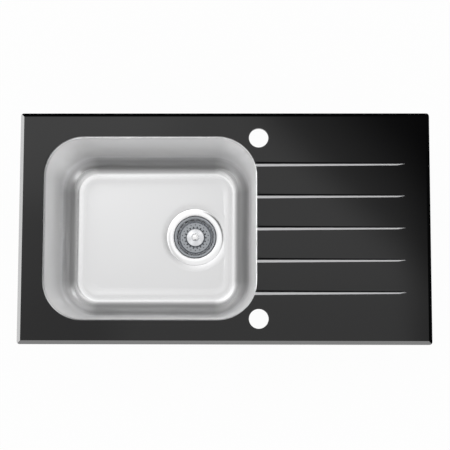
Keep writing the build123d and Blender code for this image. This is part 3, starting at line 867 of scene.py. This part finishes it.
@dataclass
class Bowl(SubAssembly):
    """The drawn bowl with what is bonded to it.

    Args:
        body: the body that it moves with.
        lip: how far the wall stands inside the opening in the glass.
        flange: reach of the flange outside the opening.
        corner: corner radius of the wall line.
        sheet: thickness of the steel.
        rim_bend: radius over which the flange turns down.
        collar: height of the upright collar.
        draft: how far the wall leans in over its height.
        floor_bend: radius between wall and floor.
        recess_radius: radius of the recess for the waste.
        recess_slope: width of the recess's sloping edge.
        recess_depth: depth of the recess.
        recess_bend: radius over which the floor turns into the slope.
        recess_room: share by which the flat floor ends before that bend needs it.
        recess_lip: how far the gentle slope falls before the step beside the waste's flange.
        step_inset: how far the step's upper and lower edge lie inside the recess's radius.
        step_bend: radii of those two edges.
        lead_in: width over which the floor starts to rise before the floor's bend.
        lead_rise: how far it rises there.
        hole_radius: radius of the waste hole.
        side_step: span of the mesh along the sides.
        corner_steps: spans in each corner.
        bend_steps: spans in each rounded edge of the wall's section.
        wall_step: longest span down the wall.
        floor_rows: rows between the floor's bend and the recess.
        floor_crowding: power that crowds those rows at the bend.
        sharp: angle in degrees over which an edge of the sheet stays sharp.
    """

    body: str = "sink"
    lip: float = 2.5
    flange: float = 10.0
    corner: float = 73.5
    sheet: float = 0.9
    rim_bend: float = 4.0
    collar: float = 5.0
    draft: float = 10.0
    floor_bend: float = 38.0
    recess_radius: float = 58.6
    recess_slope: float = 12.0
    recess_depth: float = 3.0
    recess_bend: float = 60.0
    recess_room: float = 1.1
    recess_lip: float = 0.3
    step_inset: tuple[float, float] = (0.5, 0.9)
    step_bend: tuple[float, float] = (0.4, 0.3)
    lead_in: float = 14.0
    lead_rise: float = 0.4
    hole_radius: float = 45.6
    side_step: float = 3.2
    corner_steps: int = 26
    bend_steps: int = 28
    wall_step: float = 3.0
    floor_rows: int = 14
    floor_crowding: float = 1.3
    sharp: float = 40.0

    def loop(self, half_x: float, half_y: float) -> tuple[Array, Array]:
        """A rounded rectangle as centres and outward headings: its line at radius r is centre + r * heading.

        The centre slides along each side while the heading stands still, then the heading turns through a
        right angle while the centre stands still.

        Args:
            half_x: half the distance between corner centres along X.
            half_y: half of it along Y.

        Returns:
            Centres and headings, with the first one repeated at the end.
        """
        spots = np.array([(half_x, half_y), (-half_x, half_y), (-half_x, -half_y), (half_x, -half_y)], float)
        centres, headings = [], []
        for side in range(4):
            start, end = spots[side - 1], spots[side]
            slide = np.linspace(0, 1, int(np.linalg.norm(end - start) / self.side_step) + 1)[:-1, None]
            centres.append(start + (end - start) * slide)
            headings.append(np.full(len(slide), side * pi / 2))
            turn = np.linspace(0, pi / 2, self.corner_steps + 1)[:-1]
            centres.append(np.repeat(end[None], self.corner_steps, axis=0))
            headings.append(side * pi / 2 + turn)
        centre, angle = np.concatenate(centres), np.concatenate(headings)
        heading = np.stack([np.cos(angle), np.sin(angle)], axis=-1)
        return np.concatenate([centre, centre[:1]]), np.concatenate([heading, heading[:1]])

    def skin(self, down: float, middle: Array, centre: Array, heading: Array, axis: Array, top: float,
             floor: float) -> Array:
        """One skin of the sheet, from the flange's edge down the wall, across the floor and into the recess.

        A row that stands a share s of the way from the collar down to the floor has its corner centres drawn
        in by s * draft along X and Y, and its corner radius is corner - (inset - s * draft), so that the
        corners keep their radius down the leaning wall. Next to the foot of the floor's bend the sheet is
        lifted by lead_rise times u * u * (3 - 2 * u), where u is one at half the draft past the foot and
        falls to zero over lead_in on either side.

        On the floor the rows fade into circles round the waste: a row is 1 - e times the last rounded
        rectangle and e times the circle's point in the same direction from the waste. At share t of the rows
        e is 1 - (1 - t) to the power of floor_crowding.

        Args:
            down: how far this skin lies below the upper one.
            middle: middle of the bowl in plan.
            centre: corner centres of the rounded rectangle.
            heading: outward headings.
            axis: axis of the waste in plan.
            top: height of the flange's upper face.
            floor: height of the floor.

        Returns:
            A grid of points.
        """
        foot = self.draft - down + self.floor_bend
        section = rounded([(-self.lip - self.flange, top - down, 0),
                           (-down, top - down, self.rim_bend - down), (-down, top - self.collar, 0),
                           (self.draft - down, floor - down, self.floor_bend + down),
                           (foot + self.lead_in, floor - down, 0)], self.bend_steps)
        section = filled_in(section, self.wall_step)
        rise = np.clip(1 - np.abs(section[:, 0] + down - foot - self.draft / 2) / self.lead_in, 0, 1)
        section[:, 1] += self.lead_rise * rise ** 2 * (3 - 2 * rise)
        lean = self.draft * np.clip((top - self.collar - section[:, 1]) / (top - self.collar - floor), 0, 1)
        radius = (self.corner - section[:, 0] + lean)[:, None, None]
        drawn_in = centre[None] * (1 - lean[:, None, None] / np.abs(centre).max(axis=0))
        ring = middle + drawn_in + radius * heading[None]
        toward = ring[-1] - axis
        toward = toward / np.linalg.norm(toward, axis=-1, keepdims=True)
        edge = self.recess_radius + self.recess_slope
        lead = self.recess_room * self.recess_bend * self.recess_lip / (self.recess_slope - 1) / 2
        share = (1 - np.linspace(1, 0, self.floor_rows + 1)[1:, None, None] ** self.floor_crowding)
        flat = (1 - share) * ring[-1][None] + share * (axis + (edge + lead) * toward)[None]
        upper, lower = (self.recess_radius - inset + down for inset in self.step_inset)
        dip = rounded([(edge + lead, floor - down, 0), (edge, floor - down, self.recess_bend),
                       (upper, floor - down - self.recess_lip, self.step_bend[0]),
                       (lower, floor - down - self.recess_depth, self.step_bend[1]),
                       (self.hole_radius, floor - down - self.recess_depth, 0)], 4)[1:]
        recess = axis + dip[:, :1, None] * toward[None]
        return np.concatenate([at_heights(ring, section[:, 1]),
                               at_heights(flat, np.full(len(flat), floor - down)),
                               at_heights(recess, dip[:, 1])])

    def build(self) -> None:
        """Builds the bowl as one closed sheet and dresses what is bonded to it.

        A point's share of a corner is 2 * |x * y| of its outward heading, which is zero along the sides and
        one in the middle of a corner.
        """
        low, high = self.box("bowl")
        dish_low, dish_high = self.box("waste_dish")
        middle = (low[:2] + high[:2]) / 2
        axis = (dish_low[:2] + dish_high[:2]) / 2
        half_x = (high[0] - low[0]) / 2 - self.flange - self.lip - self.corner
        half_y = (high[1] - low[1]) / 2 - self.flange - self.lip - self.corner
        top = high[2]
        floor = low[2] + self.sheet + self.recess_depth
        centre, heading = self.loop(half_x, half_y)
        inner = self.skin(0.0, middle, centre, heading, axis, top, floor)
        outer = self.skin(self.sheet, middle, centre, heading, axis, top, floor)
        grid = np.concatenate([inner, outer[::-1], inner[:1]])
        along = lengths(middle + centre + self.corner * heading)
        down = lengths(grid[:, 0])
        bend = 2 * np.abs(heading[:, 0] * heading[:, 1])
        layout = np.stack(np.broadcast_arrays(along[None] * MM, down[:, None] * MM, bend[None]), axis=-1)
        self.fit(Surface().grid(grid, layout).build("bowl_shell", self.sharp), Look.BOWL, self.body, "bowl")
        self.dress("bowl_bond", Look.SEALANT)
        self.dress("sound_pad", Look.FELT)
        self.eased("earth_tag", Look.SATIN, self.body, 0.2)


@dataclass
class TurnedPieces(SubAssembly):
    """Pieces that are turned about the waste's axis.

    Args:
        axis_x: place of that axis along X.
        floor: height of the bowl's floor.
    """

    axis_x: float = 0.0
    floor: float = 0.0

    def place(self) -> None:
        """Reads the axis and the bowl's floor from the frame."""
        low, high = self.box("waste_dish")
        self.axis_x = float(low[0] + high[0]) / 2
        self.floor = float(self.box("bowl")[0][2]) + Bowl.sheet + Bowl.recess_depth

    def skin(self, section: Array, segments: int) -> Array:
        """Turns a section of (radius, drop below the floor) points."""
        return turned(section * [1, -1] + [0, self.floor], self.axis_x, segments)

    def lathe(self, name: str, corners: Sequence[Corner], steps: int, segments: int = 96) -> Piece:
        """Turns a closed section.

        It starts halfway between the last and the first corner, so that these two are rounded as well.

        Args:
            name: name of the piece.
            corners: (radius, drop below the floor, bend) of each corner, once round the section.
            steps: spans in each rounded corner.
            segments: spans round the axis.

        Returns:
            The object.
        """
        first, last = corners[0], corners[-1]
        start = ((first[0] + last[0]) / 2, (first[1] + last[1]) / 2, 0.0)
        return Surface().grid(self.skin(rounded([start, *corners, start], steps), segments)).build(name)

    def sheeted(self, skin: Surface, name: str, sheet: float, look: Look, body: str, node: str) -> Piece:
        """Makes a pressed piece of its upper skin.

        Args:
            skin: the upper skin.
            name: name of the piece.
            sheet: thickness of the steel.
            look: the piece's finish.
            body: the body that it moves with.
            node: the node that it stands for.

        Returns:
            The piece.
        """
        made = skin.build(name, SHEET_SHARP)
        wall = made.modifiers.new("sheet", "SOLIDIFY")
        wall.thickness = sheet * MM
        wall.offset = -1
        return self.fit(made, look, body, node)

    def lined(self, made: Piece, look: Look, drop: float, radii: tuple[float, float]) -> None:
        """Gives a ring of a piece's faces a material of their own, for a finish as well as for painted light
        and shade.

        Args:
            made: the piece, which has its first finish.
            look: the ring's material.
            drop: depth below the floor from which a face belongs to the ring.
            radii: smallest and largest radius at which it does.
        """
        middles, _ = face_places(made.data)
        radius = np.hypot(middles[:, 0] - self.axis_x, middles[:, 1])
        within = (radius >= radii[0]) & (radius < radii[1])
        self.touch_up(made, look, within & (middles[:, 2] < self.floor - drop))


@dataclass
class Waste(TurnedPieces):
    """The waste dish, the moulded body under the bowl, its rings and its screw.

    Args:
        body: the body that they move with.
        sheet: thickness of the dish.
        drop: depth of the dish's windowed floor below the bowl's.
        cup: depth from which, and radius up to which, the dish has its cup's darker colour, painted shade
            under the basket.
        windows: number of windows in that floor.
        window_inner: inner radius of a window.
        window_outer: outer radius.
        web: width of the web between two windows.
        screw_bore: radius of the bore for the screw.
        segments: spans round the axis.
    """

    body: str = "sink"
    sheet: float = 1.0
    drop: float = 35.0
    cup: tuple[float, float] = (3.0, 43.9)
    windows: int = 8
    window_inner: float = 10.5
    window_outer: float = 22.0
    web: float = 3.0
    screw_bore: float = 3.2
    segments: int = 160

    def dish_section(self) -> Array:
        """The upper skin of the dish.

        Returns:
            Its (radius, drop) points, from its edge to its windowed floor.
        """
        return rounded([(57.2, 2.4, 0), (57.2, 0.85, 0.5), (44.9, 0.8, 1.4), (43.8, 2.4, 1.0),
                        (43.4, 20.0, 0.8), (38.6, 25.0, 1.2), (29.5, 25.0, 1.0), (26.0, self.drop, 1.5),
                        (self.window_outer, self.drop, 0)], 5)

    def window_floor(self, rows: int = 8, columns: int = 5) -> Array:
        """The dish's floor with its windows: between two windows each row spans only the web.

        A row at radius r spans the angle of the web, web / r, so that the windows' sides are parallel to the
        web's middle.

        Args:
            rows: points along a web.
            columns: points across it.

        Returns:
            A stack of grids, one for each web.
        """
        radius = np.linspace(self.window_inner, self.window_outer, rows)
        half = self.web / radius / 2
        share = np.linspace(-1, 1, columns)
        middle = np.arange(self.windows)[:, None, None] * 2 * pi / self.windows
        angle = middle + half[None, :, None] * share[None, None, :]
        span = radius[None, :, None]
        return np.stack([self.axis_x + span * np.cos(angle), span * np.sin(angle),
                         self.floor - self.drop + 0 * angle * span], axis=-1)

    def build(self) -> None:
        """Builds the dish, the body and what joins them."""
        self.place()
        hub = np.array([(self.window_inner, self.drop), (self.screw_bore, self.drop)])
        dish = Surface().grid(self.skin(self.dish_section(), self.segments))
        dish.grid(self.skin(hub, self.segments)).grid(self.window_floor())
        # Painted light: the dish takes the brighter copy of the polished steel.
        made = self.sheeted(dish, "waste_dish_shell", self.sheet, Look.DISH, self.body, "waste_dish")
        # Painted shade: the dish's cup under the basket takes the dark copy of the steel.
        self.lined(made, Look.CUP, self.cup[0], (0.0, self.cup[1]))
        for node, look, ease in (("dish_seal", Look.RUBBER, 0.0), ("body_seal", Look.RUBBER, 0.0),
                                 ("body_insert", Look.BRASS, 0.0), ("centre_screw", Look.POLISHED, 0.0),
                                 ("waste_body", Look.WHITE_PLASTIC, 0.4)):
            self.eased(node, look, self.body, ease)


@dataclass
class Basket(TurnedPieces):
    """The strainer basket: its pierced cup, knob, stem and seal, and the socket that it turns on.

    Args:
        body: the body of what lifts out.
        socket_body: the body of the socket.
        sheet: thickness of the cup.
        openings: number of slots, and of holes in each ring.
        cell_spans: spans of the mesh round the axis for each of them.
        rows: the slots in the flank and the two rings of holes in the bottom.
        cap_reach: radius up to which the cup has its cap's finish.
        flank: depth from which, and radii between which, it has its flank's.
        knob: (radius, drop, bend) corners of the knob's section.
    """

    body: str = "basket"
    socket_body: str = "basket_socket"
    sheet: float = 0.8
    openings: int = 18
    cell_spans: int = 8
    rows: tuple[Opening, ...] = (Opening(36.3, 2.9, 4.5, 2.2), Opening(26.5, 1.9, 1.0, 1.0, 0.5),
                                 Opening(21.6, 1.8, 1.45, 1.45))
    cap_reach: float = 17.2
    flank: tuple[float, float, float] = (3.2, 33.0, 38.6)
    knob: tuple[Corner, ...] = ((0, 7.7, 0), (4.2, 7.7, 0.3), (4.0, 2.9, 0.6), (6.8, 0.7, 0.5),
                                (6.8, -1.2, 1.2), (4.0, -2.4, 5.0), (0, -2.6, 0))

    def cup_section(self) -> Array:
        """The upper skin of the cup.

        Returns:
            Its (radius, drop) points, from its rim to the middle of its cap.
        """
        line = rounded([(42.0, 2.6, 0), (38.6, 3.3, 1.2), (33.4, 14.5, 1.5), (30.8, 16.5, 1.2),
                        (19.4, 16.5, 1.0), (17.4, 9.4, 1.6), (9.0, 7.8, 3.0), (2.6, 7.8, 0)], 6)
        return filled_in(line, 2.0)

    def band(self, line: Array, row: Opening, centre: float, rings: int = 5, side_steps: int = 5) -> Array:
        """A band of the turned sheet with one opening in each cell.

        A cell runs from the opening's outline to its own: ring t is 1 - e times the outline of the opening
        and e times that of the cell, where e is t to the power of 1.5, both seen in the same direction from
        the opening's centre. The outline of an opening is a slot with round ends. With w as its half width
        and c as the half length of its straight sides, its distance in direction (u, v) is w / |v| on those
        sides and c |u| + sqrt(w w - c c v v) on its ends.

        Args:
            line: (radius, drop) points of the sheet's section.
            row: the row of openings.
            centre: length along the section at which the row lies.
            rings: rings of faces in a cell.
            side_steps: spans of a cell along the section.

        Returns:
            A stack of grids, one for each cell.
        """
        run = lengths(line)
        width = row.radius * pi / self.openings
        across = np.linspace(-1, 1, self.cell_spans + 1)
        along = np.linspace(-1, 1, side_steps + 1)
        cell = np.concatenate([
            np.stack([across * width, 0 * across - row.reach], axis=-1)[:-1],
            np.stack([0 * along + width, along * row.reach], axis=-1)[:-1],
            np.stack([-across * width, 0 * across + row.reach], axis=-1)[:-1],
            np.stack([0 * along - width, -along * row.reach], axis=-1)])
        way = cell / np.linalg.norm(cell, axis=-1, keepdims=True)
        straight = row.half_length - row.half_width
        side = row.half_width / np.maximum(np.abs(way[:, 1]), 1e-6)
        end = straight * np.abs(way[:, 0]) + np.sqrt(
            np.maximum(row.half_width ** 2 - (straight * way[:, 1]) ** 2, 0))
        reach = np.where(side * np.abs(way[:, 0]) <= straight, side, end)
        hole = way * reach[:, None]
        share = (np.linspace(0, 1, rings + 1) ** 1.5)[:, None, None]
        spots = (1 - share) * hole[None] + share * cell[None]
        angle = spots[..., 0] / row.radius
        place = centre + spots[..., 1]
        radius, drop = np.interp(place, run, line[:, 0]), np.interp(place, run, line[:, 1])
        pitch = (np.arange(self.openings) + row.turn)[:, None, None] * 2 * pi / self.openings
        angle = pitch + angle[None]
        return np.stack([self.axis_x + radius * np.cos(angle), radius * np.sin(angle),
                         self.floor - drop + 0 * angle], axis=-1)

    def cup(self, margin: float = 0.05) -> Surface:
        """The cup as plain turned bands with pierced bands between them.

        Args:
            margin: length next to a plain band's ends in which it takes no other point of the section.

        Returns:
            The surface of the upper skin.
        """
        line = self.cup_section()
        run = lengths(line)
        surface = Surface()
        start = 0.0
        for row in (*self.rows, None):
            centre = 0.0 if row is None else float(np.interp(-row.radius, -line[:, 0], run))
            stop = run[-1] if row is None else centre - row.reach
            inside = (run > start + margin) & (run < stop - margin)
            marks = np.concatenate([[start], run[inside], [stop]])
            band = np.stack([np.interp(marks, run, line[:, 0]), np.interp(marks, run, line[:, 1])], axis=-1)
            surface.grid(self.skin(band, self.openings * self.cell_spans))
            if row is not None:
                surface.grid(self.band(line, row, centre))
                start = centre + row.reach
        return surface

    def build(self) -> None:
        """Builds the basket from the cup down to the socket."""
        self.place()
        # Painted shade: the strainer cup takes a darker copy of the polished steel.
        made = self.sheeted(self.cup(), "strainer_cup", self.sheet, Look.BASKET, self.body, "basket_cup")
        self.lined(made, Look.CAP, 0.0, (0.0, self.cap_reach))
        self.lined(made, Look.FLANK, self.flank[0], self.flank[1:])
        # Painted light: the knob takes the brighter copy of the polished steel.
        self.fit(self.lathe("strainer_knob", self.knob, 6), Look.DISH, self.body, "basket_knob")
        for node, look, body, ease in (("basket_stem", Look.POLISHED, self.body, 0.2),
                                       ("stem_spacer", Look.BLACK_PLASTIC, self.body, 0.2),
                                       # Painted shade: the plate under the cup takes the dark copy of the
                                       # steel.
                                       ("pressure_plate", Look.CUP, self.body, 0.2),
                                       ("stopper_seal", Look.RUBBER, self.body, 0.5),
                                       ("snap_socket", Look.BLACK_PLASTIC, self.socket_body, 0.3),
                                       ("spring_ring", Look.POLISHED, self.socket_body, 0.2)):
            self.eased(node, look, body, ease)


@dataclass
class Clamp(SubAssembly):
    """One clamp station: rail, bolt, claw and wing nut.

    Args:
        station: name of the station.
        bore: radius of the nut's bore.
        barrel: radius of its barrel at the top and at the foot.
        barrel_height: height of the barrel.
        ear_root: distance of a wing's root from the nut's axis.
        ear_reach: length of a wing.
        ear_drop: depth of its middle below the nut's top at the root, and how much it gains by the tip.
        ear_height: half its height at the root, and how much it gains by the tip.
        ear_thickness: half its thickness at the root, and how much it loses by the tip.
        ear_rows: points along a wing.
        ear_columns: points round it.
        ear_crowding: power that crowds its rows towards the tip.
        sharp: angle in degrees over which an edge of the nut stays sharp.
    """

    station: str = ""
    bore: float = 3.3
    barrel: tuple[float, float] = (5.2, 4.6)
    barrel_height: float = 6.0
    ear_root: float = 3.8
    ear_reach: float = 9.1
    ear_drop: tuple[float, float] = (3.2, 3.6)
    ear_height: tuple[float, float] = (2.3, 0.9)
    ear_thickness: tuple[float, float] = (1.2, 0.3)
    ear_rows: int = 16
    ear_columns: int = 17
    ear_crowding: float = 0.8
    sharp: float = 40.0

    def ear(self, centre: Array, heading: float, high: float) -> Array:
        """One wing of a wing nut: an ellipse carried along an arc that leaves the barrel and bends down.

        At share t of the way its middle stands ear_root + ear_reach * t from the axis, and below the nut's
        top by the first ear_drop and t * t times the second. Height and thickness change evenly, and close
        as the square root of 1 less the sixth power of t.

        Args:
            centre: axis of the nut in plan.
            heading: direction in which the wing points, in radians.
            high: height of the nut's upper face.

        Returns:
            A grid of points.
        """
        share = np.linspace(0, 1, self.ear_rows)[:, None] ** self.ear_crowding
        turn = np.linspace(0, 2 * pi, self.ear_columns)[None]
        swell = np.sqrt(np.clip(1 - share ** 6, 0, 1))
        tall = (self.ear_height[0] + self.ear_height[1] * share) * swell * np.sin(turn)
        thick = (self.ear_thickness[0] - self.ear_thickness[1] * share) * swell * np.cos(turn)
        out = self.ear_root + self.ear_reach * share + 0 * turn
        up = high - self.ear_drop[0] - self.ear_drop[1] * share ** 2 + tall
        return np.stack([centre[0] + out * np.cos(heading) - thick * np.sin(heading),
                         centre[1] + out * np.sin(heading) + thick * np.cos(heading), up], axis=-1)

    def build(self) -> None:
        """Builds the clamp's moving pieces and its rail."""
        name = self.station
        self.eased("rail_" + name, Look.RAIL, "sink", 0.35)
        self.eased("claw_" + name, Look.ZINC, "claw_" + name, 0.4)
        node = "wing_nut_" + name
        low, high = self.box(node)
        centre, top = (low[:2] + high[:2]) / 2, high[2]
        along_x = high[0] - low[0] > high[1] - low[1]
        heading = 0.0 if along_x else pi / 2
        foot = top - self.barrel_height
        barrel = rounded([(self.bore, top, 0), (self.barrel[0], top, 0.4), (self.barrel[1], foot, 0.5),
                          (self.bore, foot, 0), (self.bore, top, 0)], 3)
        nut = Surface().grid(turned(barrel, 0.0, 32) + [centre[0], centre[1], 0])
        for turn in (0.0, pi):
            nut.grid(self.ear(centre, heading + turn, top))
        self.fit(nut.build("wings_" + name, self.sharp), Look.ZINC, "nut_" + name, node)


@dataclass
class ClampBolts(SubAssembly):
    """The six bolts as threaded rods with hammer heads, and the bonds of the rails.

    Args:
        stations: names of the stations.
        body: the body that they move with.
        rod: radius of a bolt.
        pitch: pitch of its thread.
        thread_depth: depth of the thread.
        rail_sheet: thickness of the rail's lips, on which a head rests.
        head_length: length of a head.
        head_width: its width.
        head_height: its height.
        head_ease: height of its drawn-in edges.
        head_share: share of its plan that is left at its upper and lower face.
        head_squareness: power of cosine and sine in its plan; the smaller, the squarer.
        sharp: angle in degrees over which an edge of a bolt stays sharp.
        merge: distance within which points of a bolt become one.
    """

    stations: tuple[str, ...] = ()
    body: str = "sink"
    rod: float = 3.0
    pitch: float = 1.0
    thread_depth: float = 0.55
    rail_sheet: float = 1.2
    head_length: float = 11.0
    head_width: float = 6.6
    head_height: float = 3.0
    head_ease: float = 0.4
    head_share: float = 0.93
    head_squareness: float = 0.25
    sharp: float = 50.0
    merge: float = 0.0005

    def head(self, centre: Array, low: float, along_x: bool, segments: int = 32) -> Array:
        """A hammer head: rows of a rounded box, drawn in at its upper and lower edge.

        At angle a its plan is length / 2 times cos a and width / 2 times sin a, with cos a and sin a raised
        to head_squareness and their signs kept.

        Args:
            centre: axis of the bolt in plan.
            low: height of the head's underside.
            along_x: whether the head's long side runs along X.
            segments: spans round the head.

        Returns:
            A grid of points.
        """
        turn = np.linspace(0, 2 * pi, segments + 1)
        circle = np.stack([np.cos(turn), np.sin(turn)], axis=-1)
        squared = np.sign(circle) * np.abs(circle) ** self.head_squareness
        plan = squared * [self.head_length / 2, self.head_width / 2]
        plan = plan if along_x else plan[:, ::-1] * [1, -1]
        rise = np.array([0, 0, self.head_ease, self.head_height - self.head_ease, self.head_height,
                         self.head_height])
        share = np.array([0, self.head_share, 1, 1, self.head_share, 0])
        return at_heights(centre + share[:, None, None] * plan[None], low + rise)

    def build(self) -> None:
        """Builds the bolts as one piece, as the frame has them."""
        bolts = Surface()
        foot = self.box("clamp_bolts")[0][2]
        for station in self.stations:
            low, high = self.box("rail_" + station)
            centre = (low[:2] + high[:2]) / 2
            seat = low[2] + self.rail_sheet
            rail_along_x = high[0] - low[0] > high[1] - low[1]
            root = self.rod - self.thread_depth
            bolts.grid(threaded(root, self.rod, self.pitch, foot, seat, tuple(centre)))
            bolts.grid(self.head(centre, seat, not rail_along_x))
        self.fit(bolts.build("threaded_bolts", self.sharp, self.merge), Look.ZINC, self.body, "clamp_bolts")
        self.dress("rail_bonds", Look.SEALANT)


# Studio

ANY = (-2.0, 2.0)  # a range that holds every direction


@dataclass(frozen=True)
class LightWindow:
    """A soft part of the studio's sky, as ranges of the direction's components.

    Args:
        name: what it is.
        level: brightness that it adds, or share of the light behind it that it takes away.
        x: range of the direction's X.
        y: range of its Y.
        z: range of its Z.
        slant: range of the sum of X and Y.
        edge: width of its soft edge.
    """

    name: str
    level: float
    x: tuple[float, float] = ANY
    y: tuple[float, float] = ANY
    z: tuple[float, float] = ANY
    slant: tuple[float, float] = ANY
    edge: float = 0.06


@dataclass
class Studio:
    """Camera, sky and floor.

    Args:
        place: the camera's place, in millimetres.
        lean: its turns about X, Y and Z, in degrees.
        lens: focal length.
        sight: how far it sees, in metres.
        floor_gap: gap between the outlet and the floor.
        floor_reach: half the floor's length and width, in metres.
        floor_tone: the floor's colour.
        floor_roughness: its roughness.
        floor_glow: share in which camera, metal and glass see the floor as plain background.
        low_level: brightness of the sky near the horizon.
        lights: parts of the sky that add light.
        flags: parts of the sky that take light away.
    """

    place: tuple[float, float, float] = (32.6, -246.5, 2360.2)
    lean: tuple[float, float, float] = (6.108, 0.749, 0.130)
    lens: float = 100.02
    sight: float = 100.0
    floor_gap: float = 0.5
    floor_reach: float = 9.0
    floor_tone: float = 0.86
    floor_roughness: float = 0.9
    floor_glow: float = 0.96
    low_level: float = 0.72
    lights: tuple[LightWindow, ...] = (
        LightWindow("tent", 0.12, z=(0.60, 2.0), edge=0.20),
        LightWindow("overhead panel", 0.06, z=(0.93, 2.0), edge=0.05),
        LightWindow("overhead panel, back", 0.17, y=(0.10, 2.0), z=(0.90, 2.0), edge=0.08),
        LightWindow("back left glow", 0.25, x=(-2.0, -0.09), y=(0.18, 2.0), z=(0.90, 2.0), edge=0.07),
        LightWindow("side glow, left", 0.35, x=(-0.30, -0.22), y=(-0.40, 0.45), z=(0.80, 2.0), edge=0.06),
        LightWindow("side glow, right", 0.25, x=(0.21, 0.26), y=(-0.40, 0.45), z=(0.80, 2.0), edge=0.05),
        LightWindow("back glow", 0.4, x=(-0.30, 0.25), y=(0.25, 0.32), z=(0.80, 2.0), edge=0.05),
        LightWindow("left card", 11.0, x=(-2.0, -0.8), y=(-0.02, 0.22), z=(0.20, 0.29), edge=0.04),
        LightWindow("right card", 7.0, x=(0.6, 2.0), y=(-0.50, 0.50), z=(0.42, 0.62), edge=0.04),
        LightWindow("front card", 4.3, x=(-0.22, 0.18), y=(-2.0, -0.8), z=(0.36, 0.48), edge=0.04),
    )
    flags: tuple[LightWindow, ...] = (
        LightWindow("corner flag, outer", 0.55, x=(0.03, 0.18), y=(-2.0, 0.21), slant=(0.235, 2.0),
                    edge=0.05),
        LightWindow("corner flag, inner", 0.90, x=(0.03, 0.18), y=(-2.0, 0.21), slant=(0.32, 2.0),
                    edge=0.11),
        LightWindow("right flag", 0.45, x=(0.150, 0.18), y=(-0.10, 0.21), z=(0.90, 2.0), edge=0.028),
        LightWindow("right low flag", 0.96, x=(0.74, 2.0), edge=0.12),
        LightWindow("back low flag", 0.97, y=(0.86, 2.0), edge=0.05),
        LightWindow("front flag", 0.95, y=(-2.0, -0.66), z=(0.56, 2.0), edge=0.08),
        LightWindow("left strip", 0.22, x=(-0.20, -0.12), y=(-0.10, 0.10), z=(0.90, 2.0), edge=0.04),
    )

    def camera(self) -> None:
        """Places the camera almost straight above the sink."""
        data = bpy.data.cameras.new("photo camera")
        data.lens = self.lens
        data.clip_end = self.sight
        made = bpy.data.objects.new("photo camera", data)
        made.location = [length * MM for length in self.place]
        made.rotation_euler = [radians(turn) for turn in self.lean]
        bpy.context.scene.collection.objects.link(made)
        bpy.context.scene.camera = made

    def window(self, tree: Tree, values: Sequence[Socket], part: LightWindow) -> Feed:
        """The level of one part of the sky, which falls off smoothly outside its ranges.

        Args:
            tree: the world's node tree.
            values: X, Y and Z of the direction, and the sum of X and Y.
            part: the part of the sky.

        Returns:
            The socket with the level.
        """
        level: Feed = part.level
        for value, (low, high) in zip(values, (part.x, part.y, part.z, part.slant)):
            if low > ANY[0]:
                level = reckoned(tree, "MULTIPLY", ramped(tree, value, low - part.edge, low), level)
            if high < ANY[1]:
                level = reckoned(tree, "MULTIPLY", ramped(tree, value, high + part.edge, high), level)
        return level

    def sky(self) -> None:
        """Makes the sky: white for the camera, a tent with bright windows and dark flags for all else."""
        world = bpy.data.worlds.new("studio")
        bpy.context.scene.world = world
        world.use_nodes = True
        tree = world.node_tree
        direction = placed(tree, "TexCoord", {}).outputs["Generated"]
        side, back, up = placed(tree, "SeparateXYZ", {0: direction}).outputs
        values = (side, back, up, reckoned(tree, "ADD", side, back))
        total: Feed = self.low_level
        for light in self.lights:
            total = reckoned(tree, "ADD", self.window(tree, values, light), total)
            LOG.info("sky light: %s at %.2f", light.name, light.level)
        for flag in self.flags:
            clear = reckoned(tree, "SUBTRACT", 1, self.window(tree, values, flag))
            total = reckoned(tree, "MULTIPLY", total, clear)
            LOG.info("sky flag: %s at %.2f", flag.name, flag.level)
        rays = placed(tree, "LightPath", {}).outputs
        seen = placed(tree, "Mix", {"Factor": rays["Is Camera Ray"], "A": total, "B": 1})
        background = tree.nodes["Background"]
        background.inputs["Color"].default_value = (1, 1, 1, 1)
        tree.links.new(seen.outputs["Result"], background.inputs["Strength"])

    def floor(self) -> None:
        """Makes the pale floor, which keeps a soft shadow."""
        height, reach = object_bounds()[0][2] - self.floor_gap * MM, self.floor_reach
        corners = ((-reach, -reach), (reach, -reach), (reach, reach), (-reach, reach))
        mesh = bpy.data.meshes.new("studio floor")
        mesh.from_pydata([(x, y, height) for x, y in corners], [], [(0, 1, 2, 3)])
        made = bpy.data.objects.new("studio_floor", mesh)
        bpy.context.scene.collection.objects.link(made)
        finish = bpy.data.materials.new("studio floor")
        finish.use_nodes = True
        tree = finish.node_tree
        shader = tree.nodes["Principled BSDF"]
        shader.inputs["Base Color"].default_value = (self.floor_tone, self.floor_tone, self.floor_tone, 1)
        shader.inputs["Roughness"].default_value = self.floor_roughness
        rays = placed(tree, "LightPath", {}).outputs
        mirrored = reckoned(tree, "MAXIMUM", rays["Is Glossy Ray"], rays["Is Transmission Ray"])
        plain = reckoned(tree, "MAXIMUM", rays["Is Camera Ray"], mirrored)
        glow = placed(tree, "Emission", {})
        mix = placed(tree, "MixShader", {0: reckoned(tree, "MULTIPLY", plain, self.floor_glow),
                                         1: shader.outputs[0], 2: glow.outputs[0]})
        tree.links.new(mix.outputs[0], tree.nodes["Material Output"].inputs["Surface"])
        mesh.materials.append(finish)
        made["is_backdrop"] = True

    def build(self) -> None:
        """Sets up the studio."""
        bpy.context.scene.view_settings.view_transform = "Standard"
        self.camera()
        self.sky()
        self.floor()


def main() -> None:
    """Builds the sink's pieces in order, then the studio."""
    logging.basicConfig(level=logging.INFO, format="%(name)s: %(message)s")
    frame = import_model()
    stations = tuple(node[len("claw_"):] for node in frame["nodes"] if node.startswith("claw_"))
    GlassTop(frame).build()
    Bowl(frame).build()
    Waste(frame).build()
    Basket(frame).build()
    ClampBolts(frame, stations=stations).build()
    for station in stations:
        Clamp(frame, station=station).build()
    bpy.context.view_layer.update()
    Studio().build()


if __name__ == "__main__":
    main()
